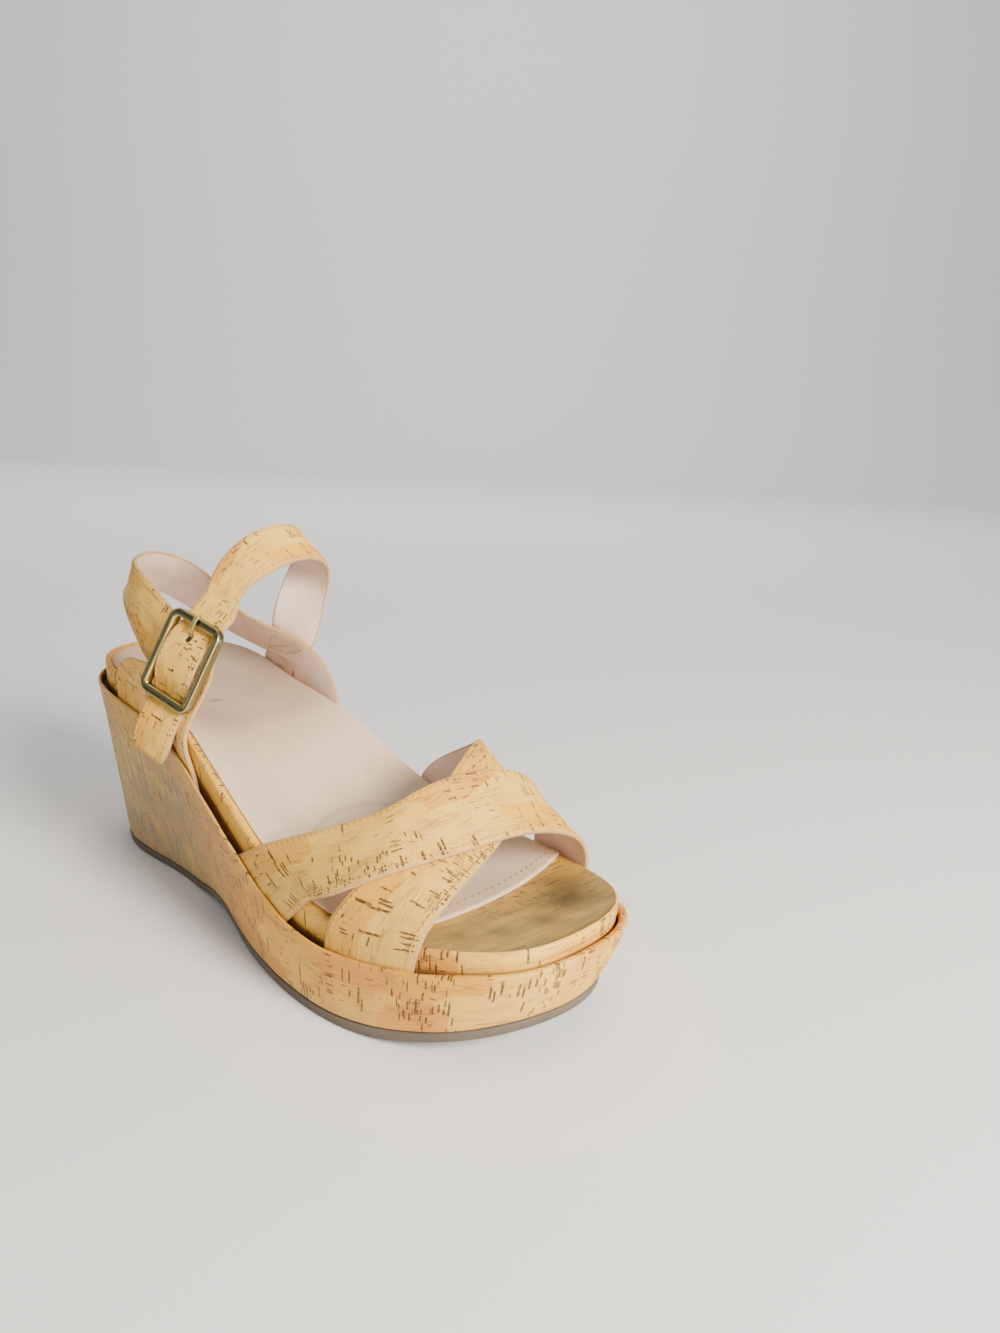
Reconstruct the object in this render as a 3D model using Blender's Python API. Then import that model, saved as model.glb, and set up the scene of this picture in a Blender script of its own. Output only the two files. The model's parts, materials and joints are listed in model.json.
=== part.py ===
"""Right platform sandal: cork-wrapped wedge, crossed front straps, buckled ankle straps.

Metres, +Z up. The origin is on the floor under the middle of the heel, the toe points along -Y,
the inner side of the foot is +X and the outer side, with the buckle, is -X.
"""
import math
from collections import namedtuple

import bmesh
import bpy
import numpy as np

for thing in list(bpy.data.objects):
    bpy.data.objects.remove(thing, do_unlink=True)

# Plan sizes, along the rim of the platform
LENGTH = 0.2590
HEEL_SEAT = 0.0400
BALL_INNER = 0.0498
BALL_OUTER = 0.0460

# Side sizes, above the floor
HEEL_HEIGHT = 0.0681
ARCH_RISE = 0.0032
TOE_SPRING = 0.0112
OUTSOLE = 0.0032

# Platform rim, the groove inside it and the tray that holds the footbed
LIP = 0.0010
GROOVE = 0.0024
TRAY = 0.0060
EDGE_ROUND = 0.0008

# Footbed with its heel cup, and the sock glued on it
FOOTBED_SIDE = 0.0080
FOOTBED_FLARE = 0.0004
CUP_DEPTH = 0.0095
BALL_DISH = 0.0012
SOCK = 0.0008
SOCK_GAP = 0.0005
SOCK_MARGIN = 0.0026
SOCK_FRONT = 0.2110

# Straps: wall, widths and heights over the footbed
STRAP = 0.0015
TAB_WALL = 0.0012
FRONT_WIDTH = 0.0250
SLING_WIDTH = 0.0208
INSTEP_WIDTH = 0.0185
TAB_WIDTH = 0.0190
VAMP_RISE = 0.0280
ANKLE_RISE = 0.0600
STRAP_SEAT = 0.0042
STITCH_PAD = 0.0080

# Buckle: frame outside sizes, bars and prong
BUCKLE_WIDTH = 0.0248
BUCKLE_HEIGHT = 0.0318
BUCKLE_BAR = 0.0030
BUCKLE_DEPTH = 0.0028
BUCKLE_CORNER = 0.0042
BUCKLE_STEP = 0.0006
BUCKLE_TURN = math.radians(17.8)
BUCKLE_LEAN = math.radians(18.0)
BUCKLE_TILT = math.radians(16.4)
CENTRE_BAR = 0.0016
CENTRE_BAR_DEPTH = 0.0015
PRONG = 0.0011
HINGE_GAP = 0.00015
SLOT_WIDTH = 0.0032
BUCKLE_FIT = 0.0178

# Clearance between pieces that touch on the real sandal
CLEAR = 0.0003

# Stations along each half of an outline, points across a surface and steps along a strap
STATIONS = 40
ACROSS = 14
STRAP_STEP = 0.0065
STRAP_COLUMNS = 4

# Plan sections: lengths as shares of LENGTH, BALL_INNER and BALL_OUTER
Section = namedtuple("Section", "along inner outer")
RIM = (
    Section(0.000, 0.000, 0.000),
    Section(0.030, 0.386, 0.440),
    Section(0.120, 0.638, 0.745),
    Section(0.290, 0.595, 0.794),
    Section(0.445, 0.600, 0.937),
    Section(0.595, 0.821, 0.965),
    Section(0.735, 1.000, 1.000),
    Section(0.850, 0.925, 0.880),
    Section(0.940, 0.688, 0.695),
    Section(0.982, 0.410, 0.500),
    Section(1.000, 0.000, 0.000),
)
GROUND = (
    Section(0.062, 0.000, 0.000),
    Section(0.082, 0.305, 0.360),
    Section(0.136, 0.500, 0.548),
    Section(0.290, 0.464, 0.570),
    Section(0.445, 0.508, 0.672),
    Section(0.595, 0.778, 0.865),
    Section(0.735, 0.989, 0.930),
    Section(0.860, 0.850, 0.755),
    Section(0.940, 0.480, 0.410),
    Section(0.967, 0.000, 0.000),
)

# Side sections: rim as a share of HEEL_HEIGHT, side of FOOTBED_SIDE, dish of CUP_DEPTH
Level = namedtuple("Level", "along rim side dish")
LEVELS = (
    Level(0.000, 1.000, 0.98, 1.00),
    Level(0.135, 0.983, 1.01, 1.00),
    Level(0.290, 0.912, 1.04, 0.72),
    Level(0.444, 0.810, 0.99, 0.22),
    Level(0.600, 0.485, 1.04, 0.00),
    Level(0.734, 0.370, 1.00, 0.00),
    Level(0.870, 0.408, 0.84, 0.00),
    Level(1.000, 0.516, 0.66, 0.00),
)

# Strap sections from the outer side to the inner side of the foot: along and across as shares of
# LENGTH and BALL_INNER, rise over the footbed's edge as a share of the strap's own rise, and the
# way from its rear to its front edge
Fold = namedtuple("Fold", "along across rise fore side lift")
# Where a strap goes down into the groove: its rear and front edge as shares of LENGTH, and how
# far it leans towards the toe for its rise
Seat = namedtuple("Seat", "rear front slant")

OVER_OUTER, OVER_INNER = Seat(0.571, 0.687, 0.94), Seat(0.745, 0.851, -0.07)
OVER_FOLDS = (
    Fold(0.729, -0.783, 0.50, 0.81, -0.41, -0.42),
    Fold(0.782, -0.565, 0.80, 0.82, -0.45, -0.36),
    Fold(0.804, -0.198, 0.96, 0.82, -0.15, -0.55),
    Fold(0.814, 0.267, 0.98, 0.80, -0.16, -0.58),
    Fold(0.814, 0.650, 0.76, 0.88, -0.21, -0.42),
)
UNDER_OUTER, UNDER_INNER = Seat(0.755, 0.876, 0.23), Seat(0.556, 0.651, 0.18)
UNDER_FOLDS = (
    Fold(0.835, -0.594, 0.47, 0.95, 0.25, -0.20),
    Fold(0.828, -0.424, 0.60, 0.95, 0.18, -0.27),
    Fold(0.797, 0.080, 0.92, 0.79, 0.29, -0.55),
    Fold(0.756, 0.491, 1.10, 0.70, 0.34, -0.62),
    Fold(0.672, 0.829, 0.66, 0.72, 0.22, -0.66),
)
SLING_OUTER, SLING_INNER = Seat(0.370, 0.452, -0.70), Seat(0.297, 0.405, -0.04)
SLING_FOLDS = (
    Fold(0.358, -0.550, 0.15, 0.84, 0.21, 0.51),
    Fold(0.281, -0.511, 0.29, 0.46, 0.46, 0.76),
    Fold(0.204, -0.503, 0.42, 0.23, 0.28, 0.93),
    Fold(0.105, -0.372, 0.54, 0.58, -0.03, 0.82),
    Fold(0.053, 0.008, 0.53, 0.66, 0.07, 0.75),
    Fold(0.091, 0.309, 0.37, 0.50, -0.07, 0.86),
    Fold(0.151, 0.380, 0.26, 0.61, -0.35, 0.71),
    Fold(0.234, 0.462, 0.21, 0.69, -0.37, 0.62),
    Fold(0.289, 0.538, 0.18, 0.95, 0.06, 0.30),
)
INSTEP_INNER = Seat(0.172, 0.270, 0.36)
INSTEP_FOLDS = (
    Fold(0.345, -0.217, 0.75, 0.94, 0.08, -0.33),
    Fold(0.353, 0.113, 0.95, 0.73, 0.43, -0.54),
    Fold(0.352, 0.440, 0.96, 0.70, 0.27, -0.66),
    Fold(0.312, 0.601, 0.72, 0.79, 0.39, -0.48),
    Fold(0.297, 0.577, 0.54, 0.70, 0.67, -0.24),
    Fold(0.278, 0.564, 0.28, 0.65, 0.66, -0.38),
)
TAB_OUTER = Seat(0.181, 0.287, 0.00)
TAB_FOLDS = (
    Fold(0.289, -0.780, 0.14, 0.740, 0.000, -0.670),
)
# The middle of the buckle
BUCKLE_AT = Fold(0.388, -0.723, 0.38, 0, 0, 0)

# Places seen in the buckle's own plane, as shares of half its height: aside towards the toe,
# height along the strap and depth towards the outside of the foot
Thread = namedtuple("Thread", "aside height depth")
INSTEP_THREADS = (
    Thread(0.05, -2.22, -0.20),
    Thread(0.06, -2.00, -0.14),
    Thread(0.06, -1.60, -0.07),
    Thread(0.01, -1.15, -0.125),
    Thread(0.00, -0.90, -0.180),
    Thread(0.00, -0.78, -0.165),
    Thread(0.00, -0.50, -0.010),
    Thread(0.00, -0.25, 0.085),
    Thread(0.00, 0.00, 0.105),
    Thread(0.00, 0.28, 0.080),
    Thread(0.00, 0.56, -0.030),
    Thread(0.00, 0.78, -0.165),
    Thread(0.00, 0.90, -0.180),
    Thread(0.00, 1.12, -0.280),
)
TIP_WIDTHS = (0.62, 0.97)
TAB_THREADS = (
    Thread(-0.50, -0.47, -0.300),
    Thread(-0.13, -0.17, -0.215),
)
PRONG_THREADS = (
    Thread(0.00, 0.19, -0.030),
    Thread(0.00, 0.38, -0.047),
    Thread(0.00, 0.56, 0.012),
    Thread(0.00, 0.75, 0.108),
    Thread(0.00, 0.90, 0.137),
    Thread(0.00, 1.03, 0.132),
)
SLOT_FROM, SLOT_TO = 0.38, 0.78


def natural_spline(knots, values, at):
    """Smooth curve through values at the knots, straight at both ends."""
    knots, values, at = np.asarray(knots, float), np.asarray(values, float), np.asarray(at, float)
    gaps = np.diff(knots)
    slopes = (np.diff(values, axis=0).T / gaps).T
    count = len(knots)
    system, known = np.eye(count), np.zeros_like(values)
    for row in range(1, count - 1):
        system[row, row - 1:row + 2] = gaps[row - 1], 2 * (gaps[row - 1] + gaps[row]), gaps[row]
        known[row] = 6 * (slopes[row] - slopes[row - 1])
    bend = np.linalg.solve(system, known)
    span = np.clip(np.searchsorted(knots, at) - 1, 0, count - 2)
    gap, lead, trail = gaps[span], knots[span + 1] - at, at - knots[span]

    def spread(weight):
        return weight.reshape(weight.shape + (1,) * (values.ndim - 1))

    return (spread((lead ** 3 / gap - lead * gap) / 6) * bend[span]
            + spread((trail ** 3 / gap - trail * gap) / 6) * bend[span + 1]
            + spread(lead / gap) * values[span] + spread(trail / gap) * values[span + 1])


def profile(column):
    """A side section's column as a function of the distance from the heel's back."""
    knots = [level.along * LENGTH for level in LEVELS]
    values = [getattr(level, column) for level in LEVELS]
    return lambda run: natural_spline(knots, values, run)


rim_share, side_share, dish_share = profile("rim"), profile("side"), profile("dish")


def rim_height(run):
    return HEEL_HEIGHT * rim_share(run)


def edge_height(run):
    return rim_height(run) + FOOTBED_SIDE * side_share(run)


def ground_height(run):
    """Flat under the heel and the ball, with the arch between them and the toe spring in front."""
    arch_from, arch_to, toe_from = 0.335 * LENGTH, 0.575 * LENGTH, 0.740 * LENGTH
    arch = np.clip((run - arch_from) / (arch_to - arch_from), 0, 1)
    toe = np.clip((run - toe_from) / (GROUND[-1].along * LENGTH - toe_from), 0, None)
    return ARCH_RISE * np.sin(math.pi * arch) ** 2 + TOE_SPRING * toe ** 1.9


def outline(sections):
    """Closed smooth curve through the sections: the inner side to the toe, the outer side back."""
    inner = [(s.along * LENGTH, s.inner * BALL_INNER) for s in sections]
    outer = [(s.along * LENGTH, -s.outer * BALL_OUTER) for s in sections[-2:0:-1]]
    points = np.array(inner + outer)
    turns = 3
    wrapped = np.vstack([points] * turns + [points[:1]])
    steps = np.r_[0, np.cumsum(np.linalg.norm(np.diff(wrapped, axis=0), axis=1))]
    lap = steps[-1] / turns
    at = np.linspace(lap, 2 * lap, 721)[:-1]
    return natural_spline(steps, wrapped, at)


def inset(curve, distance):
    """The closed curve moved inwards by a distance along its normals."""
    ahead = np.roll(curve, -1, axis=0) - np.roll(curve, 1, axis=0)
    normal = np.stack([ahead[:, 1], -ahead[:, 0]], 1) / np.linalg.norm(ahead, axis=1)[:, None]
    return curve + distance * normal


def sides(curve, run):
    """Where the outline's inner and outer sides lie at a distance from the heel's back."""
    heel, toe = curve[:, 0].argmin(), curve[:, 0].argmax()
    turned, ahead = np.roll(curve, -heel, axis=0), (toe - heel) % len(curve)
    inner, outer = turned[:ahead + 1], np.vstack([turned[ahead:], turned[:1]])[::-1]
    return np.interp(run, inner[:, 0], inner[:, 1]), np.interp(run, outer[:, 0], outer[:, 1])


def rows_of(curve, rows=STATIONS):
    """Distances from the heel's back, closer together where the outline turns."""
    low, high = curve[:, 0].min(), curve[:, 0].max()
    return low + (high - low) * (1 - np.cos(np.pi * np.arange(rows + 1) / rows)) / 2


def place(run, across, height):
    """From distance along the foot, across it and up, to the part's own frame."""
    return np.stack(np.broadcast_arrays(across, HEEL_SEAT - run, height), -1)


def plan_grid(curve, height, columns=ACROSS, rows=STATIONS):
    """Rows of points over an outline, from its outer to its inner side, at the given height."""
    run = rows_of(curve, rows)[:, None]
    inner, outer = sides(curve, run)
    share = np.sin(np.linspace(-np.pi / 2, np.pi / 2, columns + 1))[None, :]
    across = outer + (inner - outer) * (share + 1) / 2
    run = np.broadcast_to(run, across.shape)
    return place(run, across, height(run, share))


def rim_loop(grid):
    """The border of a grid whose first and last rows are single points."""
    return np.vstack([grid[:, -1], grid[-2:0:-1, 0]])


def plan_loop(curve, height):
    return rim_loop(plan_grid(curve, lambda run, share: height(run) + 0 * share, columns=2))


def blend(first, second, share):
    return first + (second - first) * share


def new_piece(name, points, faces, look):
    """A closed mesh object from points and faces, with doubled points merged."""
    shape = bmesh.new()
    corners = [shape.verts.new(point) for point in points]
    for face in faces:
        shape.faces.new([corners[index] for index in face])
    bmesh.ops.remove_doubles(shape, verts=shape.verts, dist=1e-7)
    bmesh.ops.recalc_face_normals(shape, faces=shape.faces)
    mesh = bpy.data.meshes.new(name)
    shape.to_mesh(mesh)
    shape.free()
    mesh.shade_smooth()
    mesh.set_sharp_from_angle(angle=math.radians(35))
    piece = bpy.data.objects.new(name, mesh)
    bpy.context.scene.collection.objects.link(piece)
    piece.data.materials.append(look)
    return piece


def look(name, colour, roughness, metallic=0.0):
    material = bpy.data.materials.new(name)
    material.use_nodes = True
    shader = material.node_tree.nodes["Principled BSDF"]
    shader.inputs["Base Color"].default_value = (*colour, 1)
    shader.inputs["Roughness"].default_value = roughness
    shader.inputs["Metallic"].default_value = metallic
    return material


def grid_faces(rows, columns, start):
    """Quads of a grid of points, rows running one way and columns the other."""
    index = start + np.arange(rows * columns).reshape(rows, columns)
    return np.stack([index[:-1, :-1], index[1:, :-1], index[1:, 1:], index[:-1, 1:]], -1).reshape(-1, 4)


def sole_piece(name, bottom, loops, top, material):
    """A solid between a bottom and a top surface, with loops of points up its side."""
    chain = [rim_loop(bottom), *loops, rim_loop(top)]
    count = len(chain[0])
    points = [bottom.reshape(-1, 3), top.reshape(-1, 3), *chain]
    faces = [grid_faces(*bottom.shape[:2], 0), grid_faces(*top.shape[:2], len(points[0]))]
    start = len(points[0]) + len(points[1])
    here = np.arange(count)
    for step in range(len(chain) - 1):
        low = start + step * count
        ahead = (here + 1) % count
        faces.append(np.stack([low + here, low + ahead, low + count + ahead, low + count + here], -1))
    return new_piece(name, np.vstack(points), distinct(np.vstack(points), np.vstack(faces)), material)


def distinct(points, faces):
    """Faces whose corners are at least three different places, each named once."""
    _, first = np.unique(np.round(points, 8), axis=0, return_index=True)
    order = {tuple(np.round(points[index], 8)): index for index in first}
    same = [order[tuple(point)] for point in np.round(points, 8)]
    kept = []
    for face in faces:
        corners = list(dict.fromkeys(same[index] for index in face))
        if len(corners) > 2:
            kept.append(corners)
    return kept


def slab(name, upper, lower, material):
    """A solid between two grids of points that face each other."""
    rows, columns = upper.shape[:2]
    border = ([(0, c) for c in range(columns)] + [(r, columns - 1) for r in range(1, rows)]
              + [(rows - 1, c) for c in range(columns - 2, -1, -1)]
              + [(r, 0) for r in range(rows - 2, 0, -1)])
    flat = [r * columns + c for r, c in border]
    size = rows * columns
    points = np.vstack([upper.reshape(-1, 3), lower.reshape(-1, 3)])
    faces = list(grid_faces(rows, columns, 0)) + list(grid_faces(rows, columns, size))
    for here, ahead in zip(flat, flat[1:] + flat[:1]):
        faces.append((here, ahead, size + ahead, size + here))
    return new_piece(name, points, distinct(points, faces), material)


def combine(piece, other, operation):
    """Joins another solid to the piece, or cuts it out, and takes the other away."""
    step = piece.modifiers.new(operation, "BOOLEAN")
    step.operation = operation
    step.solver = "EXACT"
    step.object = other
    bpy.context.view_layer.update()
    result = bpy.data.meshes.new_from_object(piece.evaluated_get(bpy.context.evaluated_depsgraph_get()))
    piece.modifiers.clear()
    piece.data = result
    bpy.data.objects.remove(other, do_unlink=True)
    return piece


rim_curve = outline(RIM)
ground_curve = outline(GROUND)
tray_curve = inset(rim_curve, LIP)
footbed_foot = inset(rim_curve, LIP + GROOVE)
footbed_edge = inset(rim_curve, LIP + GROOVE - FOOTBED_FLARE)


def build_outsole(material):
    """Thin rubber under the platform, with the wall of the platform's own slant."""
    def under(run, share):
        return ground_height(run) + 0 * share

    def over(run, share):
        return ground_height(run) + OUTSOLE + 0 * share

    slant = OUTSOLE / HEEL_HEIGHT
    upper_curve = blend(ground_curve, rim_curve, slant)
    bottom = plan_grid(inset(ground_curve, EDGE_ROUND), under, columns=4)
    top = plan_grid(inset(upper_curve, EDGE_ROUND), over, columns=4)
    walls = [plan_loop(ground_curve, lambda run: ground_height(run) + EDGE_ROUND),
             plan_loop(upper_curve, lambda run: ground_height(run) + OUTSOLE - EDGE_ROUND / 2)]
    return sole_piece("outsole", bottom, walls, top, material)


def build_platform(material):
    """Cork-wrapped wedge: slanted walls up to a rounded rim, with a tray that holds the footbed."""
    def under(run, share=0):
        return ground_height(run) + OUTSOLE + CLEAR + 0 * share

    def floor(run, share):
        return rim_height(run) - TRAY + 0 * share

    foot = blend(ground_curve, rim_curve, OUTSOLE / HEEL_HEIGHT)
    bottom = plan_grid(inset(foot, EDGE_ROUND), under, columns=4)
    top = plan_grid(tray_curve, floor, columns=4)
    low = plan_loop(foot, lambda run: under(run) + EDGE_ROUND)
    high = plan_loop(rim_curve, lambda run: rim_height(run) - EDGE_ROUND)
    walls = [low, blend(low, high, 1 / 3), blend(low, high, 2 / 3), high,
             plan_loop(inset(rim_curve, LIP * 0.35), rim_height),
             plan_loop(tray_curve, lambda run: rim_height(run) - EDGE_ROUND * 0.5)]
    return sole_piece("platform", bottom, walls, top, material)


def cup_share(run, share):
    """0 in the middle of the footbed and 1 at its border, rounded at the heel end."""
    heel_end, cup_centre = footbed_edge[:, 0].min(), 0.135 * LENGTH
    back = np.clip((cup_centre - run) / (cup_centre - heel_end), 0, 1)
    return np.sqrt(back ** 2 + share ** 2 * (1 - back ** 2))


def footbed_height(run, share):
    """The footbed's top: a cup at the heel, nearly flat at the ball and toe."""
    depth = CUP_DEPTH * dish_share(run) + BALL_DISH * (1 - dish_share(run))
    return edge_height(run) - np.maximum(depth, 0) * (1 - cup_share(run, share) ** 3.6)


def build_footbed(material):
    """Cork-wrapped footbed in the tray, its side standing clear of the rim by the groove."""
    bottom = plan_grid(inset(footbed_foot, EDGE_ROUND), lambda run, share: rim_height(run) - TRAY + CLEAR
                       + 0 * share, columns=4)
    walls = [plan_loop(footbed_foot, lambda run: rim_height(run) - TRAY + CLEAR + EDGE_ROUND),
             plan_loop(footbed_foot, rim_height),
             plan_loop(footbed_edge, lambda run: edge_height(run) - EDGE_ROUND),
             plan_loop(inset(footbed_edge, EDGE_ROUND * 0.3),
                       lambda run: edge_height(run) - EDGE_ROUND * 0.3)]
    top = plan_grid(inset(footbed_edge, EDGE_ROUND), footbed_height)
    return sole_piece("footbed", bottom, walls, top, material)


def build_sock(material):
    """Lining glued over the footbed from the heel to its curved front edge behind the toes."""
    border = inset(footbed_edge, SOCK_MARGIN)
    outer_border = inset(footbed_edge, EDGE_ROUND)
    rows = 30
    start = border[:, 0].min()
    run = start + (SOCK_FRONT - start) * (1 - np.cos(np.pi / 2 * np.arange(rows + 1) / rows)) ** 0.8
    share = np.sin(np.linspace(-np.pi / 2, np.pi / 2, ACROSS + 1))[None, :]
    bow = 0.006 * (1 - share ** 2) - 0.004 * share
    reach = np.clip((run[:, None] - 0.7 * SOCK_FRONT) / (0.3 * SOCK_FRONT), 0, 1) ** 2
    run = run[:, None] + bow * reach
    inner, outer = sides(border, run)
    across = outer + (inner - outer) * (share + 1) / 2
    far_inner, far_outer = sides(outer_border, run)
    wide = 2 * (across - far_outer) / (far_inner - far_outer) - 1
    height = footbed_height(run, wide)
    lower = place(run, across, height + SOCK_GAP)
    upper = place(run, across, height + SOCK_GAP + SOCK)
    return slab("sock_lining", upper, lower, material)


def seat_row(seat, side, height, inwards, rise):
    """A strap's section on the curved groove: its middle, reach from rear to front, and bow."""
    line = inset(rim_curve, inwards)
    run = np.array([seat.rear, (seat.rear + seat.front) / 2, seat.front]) * LENGTH + seat.slant * rise
    inner, outer = sides(line, run)
    rear, middle, front = place(run, inner if side > 0 else outer, height(run))
    return (rear + front) / 2, front - rear, middle - (rear + front) / 2


def seat_rows(seat, side, wall=STRAP):
    """The end in the groove, the rim, and the shoulder beside the footbed's edge."""
    middle = LIP + GROOVE / 2
    lean = LIP + GROOVE - FOOTBED_FLARE - CLEAR - wall / 2 - 0.0001
    shoulder = 0.0006
    return [seat_row(seat, side, lambda run: rim_height(run) - STRAP_SEAT, middle, -STRAP_SEAT),
            seat_row(seat, side, rim_height, middle, 0.0),
            seat_row(seat, side, lambda run: edge_height(run) + shoulder, lean, FOOTBED_SIDE + shoulder)]


def fold_row(fold, rise, width):
    """A strap's straight section from a table row."""
    run, across = fold.along * LENGTH, fold.across * BALL_INNER
    height = edge_height(np.array(run)) + fold.rise * rise
    reach = np.array([fold.side, -fold.fore, fold.lift])
    return place(run, across, height), width * reach / np.linalg.norm(reach), np.zeros(3)


def fold_rows(folds, rise, width):
    return [fold_row(fold, rise, width) for fold in folds]


def buckle_axes():
    """The buckle's own directions: towards the toe, up the strap and outwards."""
    out = np.array([-math.cos(BUCKLE_TURN) * math.cos(BUCKLE_LEAN),
                    -math.sin(BUCKLE_TURN) * math.cos(BUCKLE_LEAN), math.sin(BUCKLE_LEAN)])
    level = np.array([math.sin(BUCKLE_TURN), -math.cos(BUCKLE_TURN), 0])
    rising = np.cross(out, level)
    fore = math.cos(BUCKLE_TILT) * level - math.sin(BUCKLE_TILT) * rising
    return fore, np.cross(out, fore), out


buckle_fore, buckle_up, buckle_out = buckle_axes()
buckle_middle = place(BUCKLE_AT.along * LENGTH, BUCKLE_AT.across * BALL_INNER,
                      edge_height(np.array(BUCKLE_AT.along * LENGTH)) + BUCKLE_AT.rise * ANKLE_RISE)


def at_buckle(aside, height, depth):
    """A place given in the buckle's own plane, in metres."""
    aside, height, depth = np.broadcast_arrays(aside, height, depth)
    return (buckle_middle + aside[..., None] * buckle_fore + height[..., None] * buckle_up
            + depth[..., None] * buckle_out)


def thread_row(thread, width):
    half = BUCKLE_HEIGHT / 2
    middle = at_buckle(thread.aside * half, thread.height * half, thread.depth * half)
    return middle, width * buckle_fore, np.zeros(3)


def round_bar(radius, angles):
    """Heights and depths around the buckle's centre bar, from its outer face upwards."""
    angles = np.radians(angles)
    return radius * np.sin(angles), radius * np.cos(angles) - CENTRE_BAR_DEPTH


def strap_path(knots, step):
    """Steps along a strap: at least two between neighbouring sections."""
    spans = [np.linspace(a, b, max(2, round((b - a) / step)) + 1)[:-1] for a, b in zip(knots, knots[1:])]
    return np.r_[np.concatenate(spans), knots[-1]]


def strap_grid(rows, step=STRAP_STEP, columns=STRAP_COLUMNS):
    """Points over a strap's middle surface and its outward normals, smooth from row to row."""
    middle, reach, bow = (np.array(part) for part in zip(*rows))
    knots = np.r_[0, np.cumsum(np.linalg.norm(np.diff(middle, axis=0), axis=1))]
    at = strap_path(knots, step)
    path, spread, arch = (natural_spline(knots, part, at)[:, None] for part in (middle, reach, bow))
    share = np.linspace(-1, 1, columns + 1)[None, :, None]
    face = path + spread * share / 2 + arch * (1 - share ** 2)
    ahead, aside = np.gradient(face, at, axis=0), np.gradient(face, axis=1)
    normal = np.cross(aside, ahead)
    return face, normal / np.linalg.norm(normal, axis=2)[:, :, None]


def strap(name, rows, material, wall=STRAP):
    face, normal = strap_grid(rows)
    return slab(name, face + normal * wall / 2, face - normal * wall / 2, material)


def box(name, middle, axes, sizes, material):
    """A block along three directions."""
    corners = [(i, j, k) for k in (-1, 1) for i, j in ((-1, -1), (1, -1), (1, 1), (-1, 1))]
    points = [middle + sum(c * size / 2 * axis for c, size, axis in zip(corner, sizes, axes))
              for corner in corners]
    faces = [(0, 1, 2, 3), (4, 5, 6, 7)] + [(i, (i + 1) % 4, 4 + (i + 1) % 4, 4 + i) for i in range(4)]
    return new_piece(name, points, faces, material)


def stitch_pad(name, over_rows, under_rows, material):
    """The stitched patch where two straps cross, from the middle of one wall to the other's."""
    over, over_normal = strap_grid(over_rows, 0.001)
    under, _ = strap_grid(under_rows, 0.001)
    middle = STRAP_COLUMNS // 2
    line, normal, below = over[:, middle], over_normal[:, middle], under[:, middle]
    offset = line[:, None] - below[None]
    aside = np.linalg.norm(offset - (offset * normal[:, None]).sum(-1)[..., None] * normal[:, None], axis=2)
    aside[np.linalg.norm(offset, axis=2) > 0.008] = 1
    first, second = np.unravel_index(aside.argmin(), aside.shape)
    top, bottom, up = line[first], below[second], normal[first]
    along = line[first + 1] - line[first - 1]
    along /= np.linalg.norm(along)
    thick = abs((top - bottom) @ up)
    return box(name, (top + bottom) / 2, (along, np.cross(up, along), up),
               (STITCH_PAD, STITCH_PAD, thick), material)


def stitched(over_name, over_rows, under_rows, material):
    """Two crossed straps and the patch that joins them, as one piece."""
    over = strap(over_name, over_rows, material)
    pad = stitch_pad("pad", over_rows, under_rows, material)
    under = strap("under", under_rows, material)
    return combine(combine(over, pad, "UNION"), under, "UNION")


def build_front_straps(material):
    """Two straps crossed over the toes' joints, the outer one from rear outside to front inside."""
    over_rows = (seat_rows(OVER_OUTER, -1) + fold_rows(OVER_FOLDS, VAMP_RISE, FRONT_WIDTH)
                 + seat_rows(OVER_INNER, 1)[::-1])
    under_rows = (seat_rows(UNDER_OUTER, -1) + fold_rows(UNDER_FOLDS, VAMP_RISE, FRONT_WIDTH)
                  + seat_rows(UNDER_INNER, 1)[::-1])
    return stitched("front_straps", over_rows, under_rows, material)


def build_ankle_straps(material):
    """The instep strap, threaded through the buckle, stitched over the sling round the heel."""
    threads = [thread_row(thread, BUCKLE_FIT) for thread in INSTEP_THREADS]
    for index, share in enumerate(TIP_WIDTHS):
        middle, reach, bow = threads[index]
        threads[index] = middle, reach * share, bow
    instep_rows = (threads + fold_rows(INSTEP_FOLDS, ANKLE_RISE, INSTEP_WIDTH)
                   + seat_rows(INSTEP_INNER, 1)[::-1])
    sling_rows = (seat_rows(SLING_OUTER, -1) + fold_rows(SLING_FOLDS, ANKLE_RISE, SLING_WIDTH)
                  + seat_rows(SLING_INNER, 1)[::-1])
    straps = stitched("ankle_straps", instep_rows, sling_rows, material)
    half = BUCKLE_HEIGHT / 2
    slot = box("slot", at_buckle(0.0, (SLOT_FROM + SLOT_TO) / 2 * half, 0.0),
               (buckle_fore, buckle_up, buckle_out),
               (SLOT_WIDTH, (SLOT_TO - SLOT_FROM) * half, 0.008), material)
    return combine(straps, slot, "DIFFERENCE")


def build_tab(material):
    """Short strap from the groove to the buckle, folded round its centre bar with a prong slot."""
    radius = CENTRE_BAR / 2 + HINGE_GAP + TAB_WALL / 2
    height, depth = round_bar(radius, np.array([180, 135, 90, 45, 0]))
    height, depth = np.r_[height, -0.0020], np.r_[depth, depth[-1]]
    fold = [(at_buckle(0.0, h, d), BUCKLE_FIT * buckle_fore, np.zeros(3)) for h, d in zip(height, depth)]
    rows = (seat_rows(TAB_OUTER, -1, TAB_WALL) + fold_rows(TAB_FOLDS, ANKLE_RISE, TAB_WIDTH)
            + [thread_row(thread, BUCKLE_FIT) for thread in TAB_THREADS] + fold)
    tab = strap("buckle_tab", rows, material, TAB_WALL)
    slot = box("slot", at_buckle(0.0, 0.0, -CENTRE_BAR_DEPTH), (buckle_fore, buckle_up, buckle_out),
               (SLOT_WIDTH, 0.0072, 0.0050), material)
    return combine(tab, slot, "DIFFERENCE")


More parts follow.
